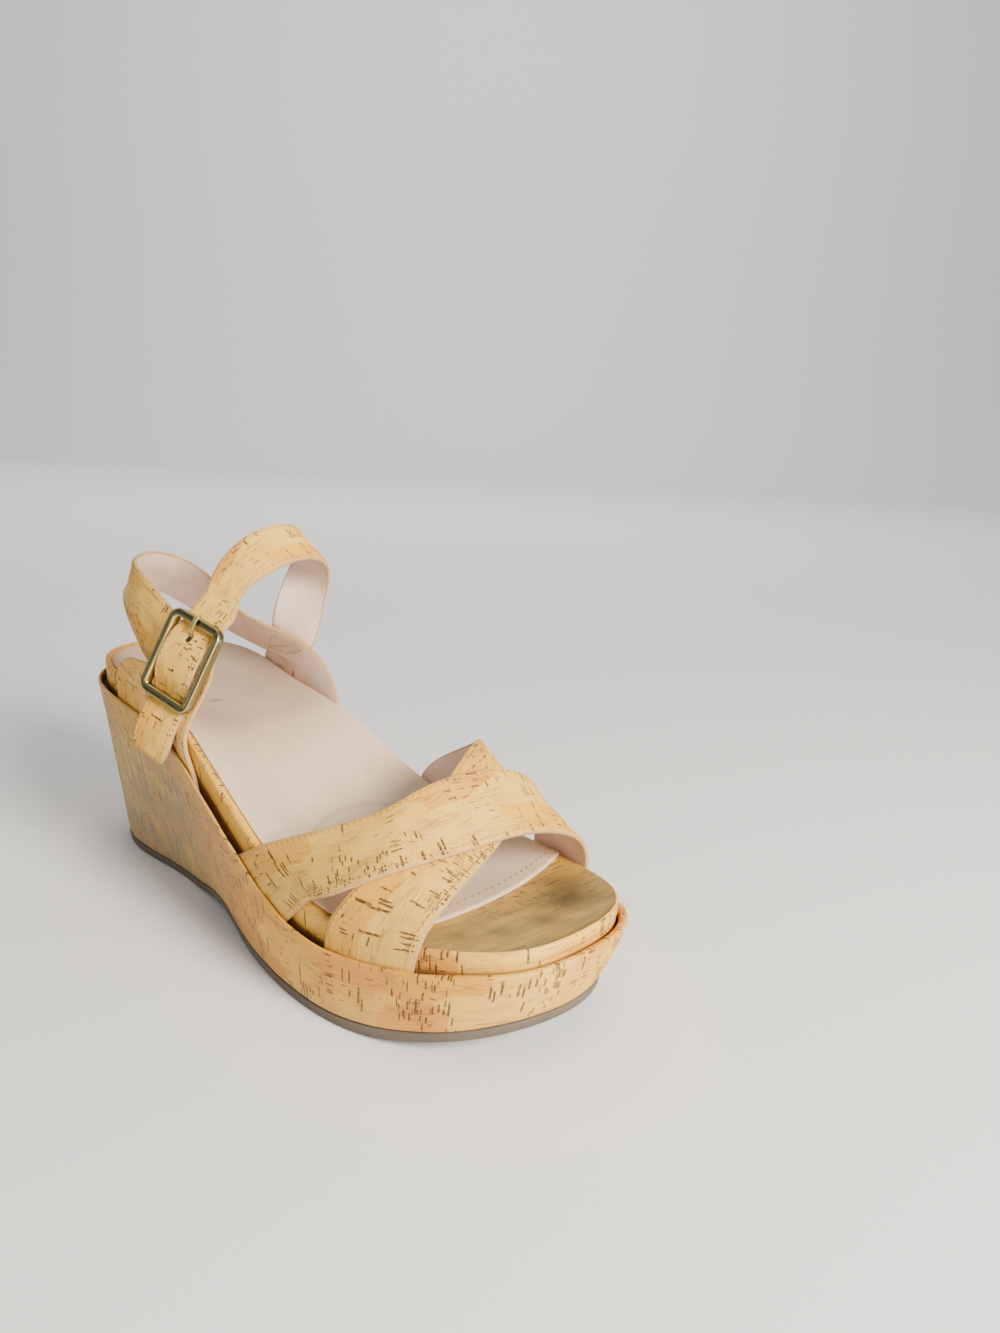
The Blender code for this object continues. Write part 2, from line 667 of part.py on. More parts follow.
def tube(name, path, sideways, radius, corners, material):
    """A round wire along a path that stays in the plane across `sideways`."""
    ahead = np.gradient(path, axis=0)
    ahead /= np.linalg.norm(ahead, axis=1)[:, None]
    across = np.cross(ahead, sideways)
    turn = np.linspace(0, 2 * math.pi, corners, endpoint=False)
    ring = np.cos(turn)[None, :, None] * sideways + np.sin(turn)[None, :, None] * across[:, None]
    points = path[:, None] + radius[:, None, None] * ring
    count, index = len(path), np.arange(len(path) * corners).reshape(len(path), corners)
    ahead = np.roll(index, -1, axis=1)
    walls = np.stack([index[:-1], ahead[:-1], ahead[1:], index[1:]], -1).reshape(-1, 4)
    ends = [tuple(index[0]), tuple(index[count - 1])]
    return new_piece(name, points.reshape(-1, 3), list(walls) + ends, material)


def build_prong(material):
    """Wire bent round the centre bar, up through the strap's slot and over the top bar."""
    radius = CENTRE_BAR / 2 + HINGE_GAP + PRONG / 2
    height, depth = round_bar(radius, np.arange(-250, 1, 25))
    half = BUCKLE_HEIGHT / 2
    knots = np.array([(h, d) for h, d in zip(height, depth)]
                     + [(t.height * half, t.depth * half) for t in PRONG_THREADS])
    steps = np.r_[0, np.cumsum(np.linalg.norm(np.diff(knots, axis=0), axis=1))]
    line = natural_spline(steps, knots, strap_path(steps, 0.0015))
    thick = np.full(len(line), PRONG / 2)
    thick[-2:] *= 0.9, 0.6
    return tube("buckle_prong", at_buckle(0.0, line[:, 0], line[:, 1]), buckle_fore, thick, 10, material)


def build_frame(material):
    """Cast frame with rounded corners and wider, raised side bars, joined by the centre bar."""
    half_width, half_height = (BUCKLE_WIDTH - BUCKLE_BAR) / 2, (BUCKLE_HEIGHT - BUCKLE_BAR) / 2
    corner = BUCKLE_CORNER - BUCKLE_BAR / 2
    points, normals = [], []
    for turn, (i, j) in zip((0, 90, 180, 270), ((1, 1), (-1, 1), (-1, -1), (1, -1))):
        for angle in np.radians(turn + np.arange(0, 91, 18)):
            normals.append((math.cos(angle), math.sin(angle)))
            points.append((i * (half_width - corner) + corner * normals[-1][0],
                           j * (half_height - corner) + corner * normals[-1][1]))
        points.append(np.array(points[-1]) * ((0.0, 1.0) if turn in (0, 180) else (1.0, 0.0)))
        normals.append(normals[-1])
    points, normals = np.array(points), np.array(normals)
    wide = np.full((len(points), 1), BUCKLE_BAR / 2)
    front = BUCKLE_DEPTH / 2 + BUCKLE_STEP * np.abs(normals[:, :1]) ** 4
    back = np.full_like(front, -BUCKLE_DEPTH / 2)
    chamfer = BUCKLE_BAR * 0.2
    aside = np.hstack([wide, wide, wide - chamfer, chamfer - wide,
                       -wide, -wide, chamfer - wide, wide - chamfer])
    depth = np.hstack([back + chamfer, front - chamfer, front, front, front - chamfer, back + chamfer,
                       back, back]) - 0.0002
    place_a = points[:, :1] + aside * normals[:, :1]
    place_b = points[:, 1:] + aside * normals[:, 1:]
    ring = at_buckle(place_a, place_b, depth)
    index = np.arange(ring.shape[0] * 8).reshape(-1, 8)
    ahead, around = np.roll(index, -1, axis=0), np.roll(index, -1, axis=1)
    faces = np.stack([index, ahead, np.roll(ahead, -1, axis=1), around], -1).reshape(-1, 4)
    frame = new_piece("buckle_frame", ring.reshape(-1, 3), faces, material)
    ends = np.linspace(-half_width, half_width, 5)
    bar = tube("bar", at_buckle(ends, 0.0, -CENTRE_BAR_DEPTH), buckle_up, np.full(5, CENTRE_BAR / 2), 12,
               material)
    return combine(frame, bar, "UNION")


cork_cloth = look("cork_cloth", (0.62, 0.43, 0.26), 0.75)
cork_wrap = look("cork_wrap", (0.58, 0.40, 0.24), 0.8)
rubber = look("outsole_rubber", (0.16, 0.13, 0.10), 0.85)
suede = look("sock_suede", (0.50, 0.43, 0.40), 0.9)
brass = look("aged_brass", (0.20, 0.19, 0.12), 0.4, 1.0)

build_outsole(rubber)
build_platform(cork_wrap)
build_footbed(cork_wrap)
build_sock(suede)
build_front_straps(cork_cloth)
build_ankle_straps(cork_cloth)
build_tab(cork_cloth)
build_frame(brass)
build_prong(brass)
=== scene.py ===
import json
import math

import bmesh
import bpy
import numpy as np
from mathutils import Matrix, Vector

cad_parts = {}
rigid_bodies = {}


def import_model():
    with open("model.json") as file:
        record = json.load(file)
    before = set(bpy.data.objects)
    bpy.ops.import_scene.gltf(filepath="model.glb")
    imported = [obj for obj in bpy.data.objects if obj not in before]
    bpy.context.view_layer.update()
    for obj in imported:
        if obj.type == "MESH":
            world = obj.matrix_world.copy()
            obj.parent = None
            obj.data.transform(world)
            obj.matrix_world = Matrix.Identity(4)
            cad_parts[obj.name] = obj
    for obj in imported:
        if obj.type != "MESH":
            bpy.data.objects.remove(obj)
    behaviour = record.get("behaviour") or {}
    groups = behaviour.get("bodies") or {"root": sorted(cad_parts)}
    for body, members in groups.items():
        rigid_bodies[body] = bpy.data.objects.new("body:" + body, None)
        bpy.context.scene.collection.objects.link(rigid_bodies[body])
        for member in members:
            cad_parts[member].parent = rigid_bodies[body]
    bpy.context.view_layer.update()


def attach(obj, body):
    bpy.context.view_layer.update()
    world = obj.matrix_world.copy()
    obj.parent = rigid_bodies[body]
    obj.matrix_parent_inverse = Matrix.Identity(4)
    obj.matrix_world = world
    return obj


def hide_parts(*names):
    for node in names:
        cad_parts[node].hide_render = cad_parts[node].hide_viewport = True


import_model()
print("frame loaded")

# Sizes in metres, as in the part: y = heelSeat - distance from the heel's back
plan = {
    "length": 0.259, "heelSeat": 0.040, "ballInner": 0.0498, "ballOuter": 0.0460,
    "heelHeight": 0.0681, "archRise": 0.0032, "toeSpring": 0.0112, "outsole": 0.0032,
    "lip": 0.0010, "groove": 0.0024, "slack": 0.0004, "tray": 0.0060, "clear": 0.0003,
    "footbedSide": 0.0080, "cupDepth": 0.0095, "ballDish": 0.0012, "sockFront": 0.2110,
    # shares of the length, and the powers of the toe's rise and of the cup
    "arch": (0.335, 0.240), "toe": (0.740, 0.227), "toePower": 1.9, "cupCentre": 0.135, "cupPower": 3.6,
}
length = plan["length"]

# distance from the heel's back, inner and outer half width, as shares
rimSections = [
    (0.000, 0.000, 0.000), (0.030, 0.386, 0.440), (0.120, 0.638, 0.745), (0.290, 0.595, 0.794),
    (0.445, 0.600, 0.937), (0.595, 0.821, 0.965), (0.735, 1.000, 1.000), (0.850, 0.925, 0.880),
    (0.940, 0.688, 0.695), (0.982, 0.410, 0.500), (1.000, 0.000, 0.000),
]
groundSections = [
    (0.062, 0.000, 0.000), (0.082, 0.305, 0.360), (0.136, 0.500, 0.548), (0.290, 0.464, 0.570),
    (0.445, 0.508, 0.672), (0.595, 0.778, 0.865), (0.735, 0.989, 0.930), (0.860, 0.850, 0.755),
    (0.940, 0.480, 0.410), (0.967, 0.000, 0.000),
]
# distance from the heel's back, rim height, footbed side and dish, as shares
levels = [
    (0.000, 1.000, 0.98, 1.00), (0.135, 0.983, 1.01, 1.00), (0.290, 0.912, 1.04, 0.72),
    (0.444, 0.810, 0.99, 0.22), (0.600, 0.485, 1.04, 0.00), (0.734, 0.370, 1.00, 0.00),
    (0.870, 0.408, 0.84, 0.00), (1.000, 0.516, 0.66, 0.00),
]


# Natural cubic spline: pieces of third degree that share slope and bend at every knot
def naturalSpline(knots, values, at):
    knots, values, at = (np.asarray(part, float) for part in (knots, values, at))
    gaps = np.diff(knots)
    slopes = (np.diff(values, axis=0).T / gaps).T
    count = len(knots)
    system, known = np.eye(count), np.zeros_like(values)
    rows = np.arange(1, count - 1)
    system[rows, rows - 1] = gaps[:-1]
    system[rows, rows] = 2 * (gaps[:-1] + gaps[1:])
    system[rows, rows + 1] = gaps[1:]
    known[1:-1] = 6 * np.diff(slopes, axis=0)
    bend = np.linalg.solve(system, known)
    span = np.clip(np.searchsorted(knots, at) - 1, 0, count - 2)
    gap, lead, trail = gaps[span], knots[span + 1] - at, at - knots[span]
    wide = (slice(None),) * at.ndim + (None,) * (values.ndim - 1)
    return (((lead ** 3 / gap - lead * gap) / 6)[wide] * bend[span]
            + ((trail ** 3 / gap - trail * gap) / 6)[wide] * bend[span + 1]
            + (lead / gap)[wide] * values[span] + (trail / gap)[wide] * values[span + 1])


# One column of the levels, on a spline through its rows
def level(column, run):
    table = np.array(levels)
    run = np.asarray(run, float)
    return naturalSpline(table[:, 0] * length, table[:, column], run.ravel()).reshape(run.shape)


# Height of the wedge's rim: the heel's height times its share
def rimHeight(run):
    return plan["heelHeight"] * level(1, run)


# Height of the footbed's upper edge: the rim plus the side's share
def edgeHeight(run):
    return rimHeight(run) + plan["footbedSide"] * level(2, run)


# Flat heel and ball, a squared-sine arch between them and a toe that rises with a power
def groundHeight(run):
    arch = np.clip((run - plan["arch"][0] * length) / (plan["arch"][1] * length), 0, 1)
    toe = np.clip((run - plan["toe"][0] * length) / (plan["toe"][1] * length), 0, None)
    return plan["archRise"] * np.sin(math.pi * arch) ** 2 + plan["toeSpring"] * toe ** plan["toePower"]


# Closed spline through the sections, up the inner side and back down the outer one
def outline(sections, count=2400):
    inner = [(s[0] * length, s[1] * plan["ballInner"]) for s in sections]
    outer = [(s[0] * length, -s[2] * plan["ballOuter"]) for s in sections[-2:0:-1]]
    points = np.array(inner + outer)
    wrapped = np.vstack([points, points, points, points[:1]])
    steps = np.r_[0, np.cumsum(np.linalg.norm(np.diff(wrapped, axis=0), axis=1))]
    at = np.linspace(steps[-1] / 3, 2 * steps[-1] / 3, count + 1)[:-1]
    return naturalSpline(steps, wrapped, at)


# Each point moved along the curve's normal
def inset(curve, distance):
    ahead = np.roll(curve, -1, axis=0) - np.roll(curve, 1, axis=0)
    normal = np.stack([ahead[:, 1], -ahead[:, 0]], 1) / np.linalg.norm(ahead, axis=1)[:, None]
    return curve + np.broadcast_to(distance, len(curve))[:, None] * normal


# Where a closed curve's inner and outer side lie at each distance from the heel's back
def sides(curve, run):
    heel, toe = curve[:, 0].argmin(), curve[:, 0].argmax()
    turned, ahead = np.roll(curve, -heel, axis=0), (toe - heel) % len(curve)
    inner, outer = turned[:ahead + 1], np.vstack([turned[ahead:], turned[:1]])[::-1]
    return np.interp(run, inner[:, 0], inner[:, 1]), np.interp(run, outer[:, 0], outer[:, 1])


# A point of the part: x = across, y = heelSeat - run, z = height
def place(run, across, height):
    return np.stack(np.broadcast_arrays(across, plan["heelSeat"] - run, height), -1)


rimCurve = outline(rimSections)
groundCurve = outline(groundSections)
footbedCurve = inset(rimCurve, plan["lip"] + plan["groove"] - plan["slack"])


# Distance along a line of points, from 0 at its first point
def lengthAlong(line):
    return np.r_[0, np.cumsum(np.linalg.norm(np.diff(line, axis=0), axis=1))]


# A smooth field: the sum of five sine waves in random directions, between about -1 and 1
def softNoise(points, scale, seed):
    rng = np.random.default_rng(seed)
    total = np.zeros(points.shape[:-1])
    for _ in range(5):
        way = rng.normal(size=3)
        way /= np.linalg.norm(way)
        total += np.sin(points @ way * (2 * math.pi / scale) * rng.uniform(0.7, 1.9) + rng.uniform(0, 7))
    return total / 2.6


# A new object for a mesh, a lamp or a lens, in the scene
def linked(name, data):
    piece = bpy.data.objects.new(name, data)
    bpy.context.scene.collection.objects.link(piece)
    return piece


# The mesh of a grid of points, closed in either direction, with its own UV map in metres
def gridMesh(name, points, uv, material, closeRows=False, closeColumns=False, marks=None, slots=None):
    rows, columns = points.shape[:2]
    index = np.arange(rows * columns).reshape(rows, columns)
    i = np.arange(rows if closeRows else rows - 1)[:, None]
    j = np.arange(columns if closeColumns else columns - 1)[None, :]
    a, b = index[i, j], index[(i + 1) % rows, j]
    c, d = index[(i + 1) % rows, (j + 1) % columns], index[i, (j + 1) % columns]
    mesh = bpy.data.meshes.new(name)
    mesh.from_pydata(points.reshape(-1, 3), [], np.stack([a, b, c, d], -1).reshape(-1, 4))
    corners = np.stack([uv[i, j], uv[i + 1, j], uv[i + 1, j + 1], uv[i, j + 1]], -2)
    layer = mesh.uv_layers.new(name="skin")
    layer.data.foreach_set("uv", corners.reshape(-1).astype(np.float32))
    for label, values in (marks or {}).items():
        attribute = mesh.attributes.new(label, "FLOAT", "POINT")
        attribute.data.foreach_set("value", values.reshape(-1).astype(np.float32))
    for item in material if isinstance(material, list) else [material]:
        mesh.materials.append(item)
    if slots is not None:
        chosen = np.broadcast_to(slots, (len(i), j.shape[1])).reshape(-1)
        mesh.polygons.foreach_set("material_index", chosen.astype(np.int32))
    mesh.shade_smooth()
    return linked(name, mesh)


# Many short closed threads in one mesh: points[thread, step, corner], capped at both ends
def threadMesh(name, points, material, smooth):
    threads, steps, corners = points.shape[:3]
    index = np.arange(threads * steps * corners).reshape(threads, steps, corners)
    a, b = index[:, :-1], index[:, 1:]
    quads = np.stack([a, np.roll(a, -1, 2), np.roll(b, -1, 2), b], -1).reshape(-1, 4)
    caps = np.concatenate([index[:, 0, ::-1], index[:, -1]])
    mesh = bpy.data.meshes.new(name)
    mesh.from_pydata(points.reshape(-1, 3), [], quads.tolist() + caps.tolist())
    mesh.materials.append(material)
    if smooth:
        mesh.shade_smooth()
    return linked(name, mesh)


# Doubled points merged, faces without area dropped, and the rest turned outwards
def weld(piece):
    shape = bmesh.new()
    shape.from_mesh(piece.data)
    bmesh.ops.remove_doubles(shape, verts=shape.verts, dist=1e-6)
    empty = [face for face in shape.faces if face.calc_area() < 1e-14]
    bmesh.ops.delete(shape, geom=empty, context="FACES_ONLY")
    bmesh.ops.recalc_face_normals(shape, faces=shape.faces)
    shape.to_mesh(piece.data)
    shape.free()
    return piece


# All the pieces as one mesh under one name
def joined(name, pieces):
    for piece in bpy.context.view_layer.objects:
        piece.select_set(False)
    for piece in pieces:
        piece.select_set(True)
    bpy.context.view_layer.objects.active = pieces[0]
    bpy.ops.object.join()
    pieces[0].name = name
    pieces[0].data.name = name
    return pieces[0]


# A finished piece rides on the part's one body and stands in for its solid
def dressed(piece, nodes):
    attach(piece, "root")
    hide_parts(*nodes)
    return piece


# A short way to add shader nodes and wire them
class Nodes:
    def __init__(self, name, roughness, metallic=0.0):
        self.material = bpy.data.materials.new(name)
        self.material.use_nodes = True
        self.tree = self.material.node_tree
        self.shader = self.tree.nodes["Principled BSDF"]
        self.shader.inputs["Roughness"].default_value = roughness
        self.shader.inputs["Metallic"].default_value = metallic

    def add(self, kind, inputs=(), **settings):
        node = self.tree.nodes.new(kind)
        for key, value in settings.items():
            setattr(node, key, value)
        for key, value in dict(inputs).items():
            self.feed(node.inputs[key], value)
        return node

    def feed(self, socket, value):
        if isinstance(value, bpy.types.NodeSocket):
            self.tree.links.new(value, socket)
        else:
            socket.default_value = value

    def colour(self, value):
        self.feed(self.shader.inputs["Base Color"], value)

    def math(self, operation, a, b=0.0):
        return self.add("ShaderNodeMath", {0: a, 1: b}, operation=operation).outputs[0]

    def times(self, a, b):
        return self.math("MULTIPLY", a, b)

    def plus(self, a, b):
        return self.math("ADD", a, b)

    def minus(self, a, b):
        return self.math("SUBTRACT", a, b)

    def vector(self, operation, a, b=(0.0, 0.0, 0.0), output="Vector"):
        return self.add("ShaderNodeVectorMath", {0: a, 1: b}, operation=operation).outputs[output]

    def mix(self, share, a, b):
        node = self.add("ShaderNodeMix", {0: share}, data_type="RGBA", blend_type="MIX")
        first, second = [socket for socket in node.inputs if socket.type == "RGBA"]
        self.feed(first, a)
        self.feed(second, b)
        return next(socket for socket in node.outputs if socket.type == "RGBA")

    # The colour pulled towards a tone by mark times strength
    def tinted(self, colour, mark, strength, tone):
        return self.mix(self.times(mark, strength), colour, tone)

    # 0 below low, 1 above high and a straight ramp between them
    def step(self, value, low, high):
        ramp = {0: value, 1: low, 2: high, 3: 0.0, 4: 1.0}
        return self.add("ShaderNodeMapRange", ramp, clamp=True).outputs[0]

    def stretched(self, source, scale, shift=(0.0, 0.0, 0.0)):
        return self.add("ShaderNodeMapping", {"Vector": source, "Scale": scale, "Location": shift}).outputs[0]

    def noise(self, source, scale, detail=2.0, roughness=0.5, output=0):
        return self.add("ShaderNodeTexNoise", {"Vector": source, "Scale": scale, "Detail": detail,
                                               "Roughness": roughness}).outputs[output]

    # Square cells: three random numbers for each and the distance from its middle
    def cells(self, source, randomness):
        grid = self.add("ShaderNodeTexVoronoi", {"Vector": source, "Scale": 1.0, "Randomness": randomness},
                        voronoi_dimensions="2D", feature="F1", distance="CHEBYCHEV")
        chance = self.add("ShaderNodeSeparateColor", {0: grid.outputs["Color"]}).outputs
        return chance, grid.outputs["Distance"]

    def axis(self, source, index):
        return self.add("ShaderNodeSeparateXYZ", {0: source}).outputs[index]

    def skin(self):
        return self.add("ShaderNodeUVMap", uv_map="skin").outputs[0]

    def place(self):
        return self.add("ShaderNodeTexCoord").outputs["Object"]

    def mark(self, name):
        return self.add("ShaderNodeAttribute", attribute_name=name).outputs["Fac"]

    def bump(self, height, distance, strength):
        node = self.add("ShaderNodeBump", {"Height": height, "Distance": distance, "Strength": strength})
        self.tree.links.new(node.outputs[0], self.shader.inputs["Normal"])


buckle = {
    "along": 0.388, "across": -0.723, "rise": 0.38, "ankleRise": 0.0600,
    "turn": 17.8, "lean": 18.0, "tilt": 16.4,  # degrees about Z, outwards and in its own plane
    "width": 0.0248, "height": 0.0318, "bar": 0.0030, "depth": 0.0028, "corner": 0.0042,
    "step": 0.0006, "centreBar": 0.0016, "centreDepth": 0.0015, "prong": 0.0011, "hingeGap": 0.00015,
    "sink": 0.0002, "longBar": 0.004, "ringRow": 0.0005,
}


# The buckle's own directions: towards the toe along it, up it and out of it
def buckleAxes():
    turn, lean, tilt = (math.radians(buckle[key]) for key in ("turn", "lean", "tilt"))
    out = np.array([-math.cos(turn) * math.cos(lean), -math.sin(turn) * math.cos(lean), math.sin(lean)])
    flat = np.array([math.sin(turn), -math.cos(turn), 0])
    fore = math.cos(tilt) * flat - math.sin(tilt) * np.cross(out, flat)
    return fore, np.cross(out, fore), out


buckleFore, buckleUp, buckleOut = buckleAxes()
buckleMiddle = place(buckle["along"] * length, buckle["across"] * plan["ballInner"],
                     edgeHeight(np.array(buckle["along"] * length)) + buckle["rise"] * buckle["ankleRise"])


# Middle + aside * fore + height * up + depth * out
def atBuckle(aside, height, depth):
    aside, height, depth = np.broadcast_arrays(aside, height, depth)
    return (buckleMiddle + aside[..., None] * buckleFore + height[..., None] * buckleUp
            + depth[..., None] * buckleOut)


cork = {
    "light": (0.78, 0.41, 0.050, 1), "rosy": (0.72, 0.310, 0.045, 1), "honey": (0.80, 0.40, 0.030, 1),
    "pale": (0.86, 0.52, 0.100, 1), "grain": (0.32, 0.13, 0.018, 1), "dark": (0.085, 0.032, 0.010, 1),
    # groove is the colour of the painted shade deep in the groove; hole is the near-black painted shade
    # inside the strap's holes
    "groove": (0.12, 0.055, 0.020, 1), "hole": (0.02, 0.013, 0.008, 1),
    "waver": (0.0006, 0.0005, 0.0), "bow": (0.0, 0.0055, 0.0),  # how far edges and grain stray, in metres
    "roughness": 0.62, "shine": 0.32, "depth": 0.00016, "relief": 0.55,
    # each kind of pore: cells in a metre, level that is inked, shift, cells of its mask, half width
    "pores": [
        ((760.0, 105.0, 1.0), 2.12, (0.3, 1.7, 0.0), 75.0, (0.16, 0.20)),
        ((1100.0, 230.0, 1.0), 2.20, (4.3, 9.1, 0.0), 60.0, (0.20, 0.24)),
        ((600.0, 75.0, 1.0), 2.22, (7.7, 2.9, 0.0), 45.0, (0.12, 0.15)),
        ((190.0, 1050.0, 1.0), 2.26, (1.7, 6.9, 0.0), 65.0, (0.16, 0.20)),
    ],
}


# Dark strokes: stretched cells, of which only those picked by their own random number and by a
# slow mask are inked, each as a thin bar across the sheet
def strokes(nodes, skin, scale, keep, shift, group, size):
    chance, away = nodes.cells(nodes.stretched(skin, scale, shift), 0.9)
    mask = nodes.noise(nodes.stretched(skin, (group, group * 0.7, group), shift), 1.0, 0.0)
    inked = nodes.step(nodes.plus(chance[0], nodes.times(mask, 2.2)), keep, keep + 0.05)
    half = nodes.plus(nodes.times(chance[1], size[1]), size[0])
    return nodes.times(inked, nodes.step(nodes.minus(half, away), 0.0, 0.07))


# Cork cloth: a patchwork of light, rosy and pale sheets, grain along it and dark pores across it
def corkMaterial(name, light, patches, pores, worn=None, holes=()):
    nodes = Nodes(name, cork["roughness"])
    nodes.shader.inputs["Specular IOR Level"].default_value = cork["shine"]
    skin = nodes.skin()
    waver = nodes.vector("ADD", nodes.noise(skin, 620.0, 3.0, 0.65, "Color"), (-0.5, -0.5, -0.5))
    warped = nodes.vector("ADD", skin, nodes.vector("MULTIPLY", waver, cork["waver"]))
    sheet, _ = nodes.cells(nodes.stretched(warped, patches + (1.0,)), 0.8)
    cloudy = nodes.noise(nodes.stretched(skin, (70.0, 110.0, 1.0)), 1.0, 3.0, 0.6)
    colour = nodes.tinted(cork[light], nodes.step(sheet[0], 0.40, 0.95), 0.8, cork["rosy"])
    colour = nodes.tinted(colour, nodes.step(nodes.plus(sheet[1], cloudy), 1.05, 1.25), 0.8, cork["honey"])
    colour = nodes.tinted(colour, nodes.step(nodes.plus(sheet[2], cloudy), 1.00, 1.35), 0.75, cork["pale"])
    bow = nodes.vector("MULTIPLY", nodes.noise(skin, 95.0, 1.0, 0.5, "Color"), cork["bow"])
    lines = nodes.noise(nodes.stretched(nodes.vector("ADD", warped, bow), (45.0, 820.0, 1.0)), 1.0, 4.0, 0.62)
    ridge = nodes.step(nodes.math("ABSOLUTE", nodes.minus(lines, 0.5)), 0.0, 0.045)
    patchy = nodes.step(nodes.noise(nodes.stretched(skin, (90.0, 160.0, 1.0), (3.1, 5.2, 0.0)), 1.0, 1.0),
                        0.42, 0.62)
    veins = nodes.times(nodes.minus(1.0, ridge), patchy)
    colour = nodes.tinted(colour, veins, 0.75, cork["grain"])
    speck = nodes.noise(nodes.stretched(warped, (900.0, 2600.0, 1.0)), 1.0, 2.0, 0.6)
    colour = nodes.tinted(colour, nodes.step(speck, 0.50, 0.78), 0.42, cork["grain"])
    ink = 0.0
    for scale, keep, shift, group, size in cork["pores"]:
        ink = nodes.math("MAXIMUM", ink, strokes(nodes, warped, scale, keep / pores, shift, group, size))
    broken = nodes.step(nodes.noise(nodes.stretched(skin, (1500.0, 900.0, 1.0)), 1.0, 1.0), 0.25, 0.55)
    ink = nodes.times(ink, nodes.plus(nodes.times(broken, 0.5), 0.45))
    colour = nodes.mix(ink, colour, cork["dark"])
    # Painted shade: each hole is a near-black spot on the cork, not a cut
    for spot, reach in holes:
        away = nodes.vector("DISTANCE", nodes.place(), tuple(spot), "Value")
        colour = nodes.mix(nodes.step(away, reach * 1.15, reach * 0.85), colour, cork["hole"])
    # Painted shade: the cork is darkened where the groove mark says it lies deep in the groove
    if worn:
        colour = nodes.tinted(worn(nodes, colour), nodes.mark("groove"), 0.9, cork["groove"])
    nodes.colour(colour)
    height = nodes.minus(nodes.minus(nodes.times(speck, -0.25), ink), nodes.times(veins, 0.25))
    nodes.bump(height, cork["depth"], cork["relief"])
    return nodes.material


# A soft blot round a point: 1 - the distance in shares of its reach, with a ragged border
def blot(nodes, where, spot, reach, ragged=0.5):
    share = nodes.vector("MULTIPLY", nodes.vector("SUBTRACT", where, spot), tuple(1 / part for part in reach))
    rough = nodes.times(nodes.noise(where, 160.0, 4.0, 0.6), ragged)
    far = nodes.plus(nodes.vector("LENGTH", share, output="Value"), rough)
    return nodes.minus(1.0, nodes.step(far, 0.2 + ragged / 2, 1.0 + ragged / 2))


# For each kind of wear, and for the painted shade on the wedge, from where to where it grows or fades in
# metres, and how much it covers
wedgeUse = {
    # grey on the low, rear, outer wall: partly dirt, partly painted shade on the side turned from the light
    "dirtAndPaintedShade": (0.235, 0.215, 0.150, 1), "dirtAndPaintedShadeShare": 0.88,
    "low": (0.030, 0.095), "rear": (-0.13, -0.05), "outer": (-0.03, 0.01), "streaks": (420.0, 45.0, 1.0),
    "smut": (0.30, 0.22, 0.14, 1), "smutShare": 0.35, "foot": (0.002, 0.012),
}
footbedUse = {
    "olive": (0.235, 0.175, 0.068, 1), "oliveShare": 0.86, "front": (0.155, 0.185),
    "streaks": (60.0, 260.0, 60.0), "print": (0.070, 0.046, 0.020, 1),
    # each toe's print: its middle, its reach and its strength
    "toes": [
        ((0.020, -0.193, 0.033), (0.0150, 0.0120, 0.02), 0.85),
        ((0.028, -0.180, 0.033), (0.0110, 0.0130, 0.02), 0.55),
        ((0.002, -0.199, 0.033), (0.0075, 0.0065, 0.02), 0.45),
        ((-0.012, -0.196, 0.033), (0.0060, 0.0060, 0.02), 0.35),
        ((-0.022, -0.189, 0.033), (0.0060, 0.0060, 0.02), 0.32),
        ((-0.028, -0.178, 0.033), (0.0060, 0.0100, 0.02), 0.30),
    ],
}


# The lower outer side and back of the wedge are greyer, with rubbed streaks up the wall: partly dirt, partly
# painted shade on the side turned from the light
def wedgeWearAndShade(nodes, colour):
    where = nodes.place()
    low = nodes.minus(1.0, nodes.step(nodes.axis(where, 2), *wedgeUse["low"]))
    rear = nodes.step(nodes.axis(where, 1), *wedgeUse["rear"])
    outer = nodes.minus(1.0, nodes.step(nodes.axis(where, 0), *wedgeUse["outer"]))
    streaks = nodes.step(nodes.noise(nodes.stretched(nodes.skin(), wedgeUse["streaks"]), 1.0, 3.0, 0.65),
                         0.20, 0.60)
    # Painted shade and dirt: the low, rear, outer wall is pulled towards grey, broken by the streaks
    dirtAndPaintedShade = nodes.times(nodes.times(low, nodes.times(rear, outer)), streaks)
    colour = nodes.tinted(colour, dirtAndPaintedShade, wedgeUse["dirtAndPaintedShadeShare"], wedgeUse["dirtAndPaintedShade"])
    foot = nodes.minus(1.0, nodes.step(nodes.axis(where, 2), *wedgeUse["foot"]))
    smut = nodes.times(foot, nodes.step(nodes.noise(where, 120.0, 3.0), 0.4, 0.65))
    return nodes.tinted(colour, smut, wedgeUse["smutShare"], wedgeUse["smut"])


# The footbed is duller in front, and dark where the toes have pressed on it
def footbedWear(nodes, colour):
    where = nodes.place()
    top = nodes.step(nodes.mark("topside"), 0.4, 0.6)
    front = nodes.step(nodes.times(nodes.axis(where, 1), -1.0), *footbedUse["front"])
    streaks = nodes.noise(nodes.stretched(where, footbedUse["streaks"]), 1.0, 3.0, 0.6)
    streaks = nodes.step(streaks, 0.30, 0.68)
    dull = nodes.times(nodes.times(top, front), nodes.plus(nodes.times(streaks, 0.50), 0.50))
    colour = nodes.tinted(colour, dull, footbedUse["oliveShare"], footbedUse["olive"])
    for spot, size, strength in footbedUse["toes"]:
        mark = nodes.times(blot(nodes, where, spot, size), top)
        colour = nodes.tinted(colour, mark, strength, footbedUse["print"])
    return colour


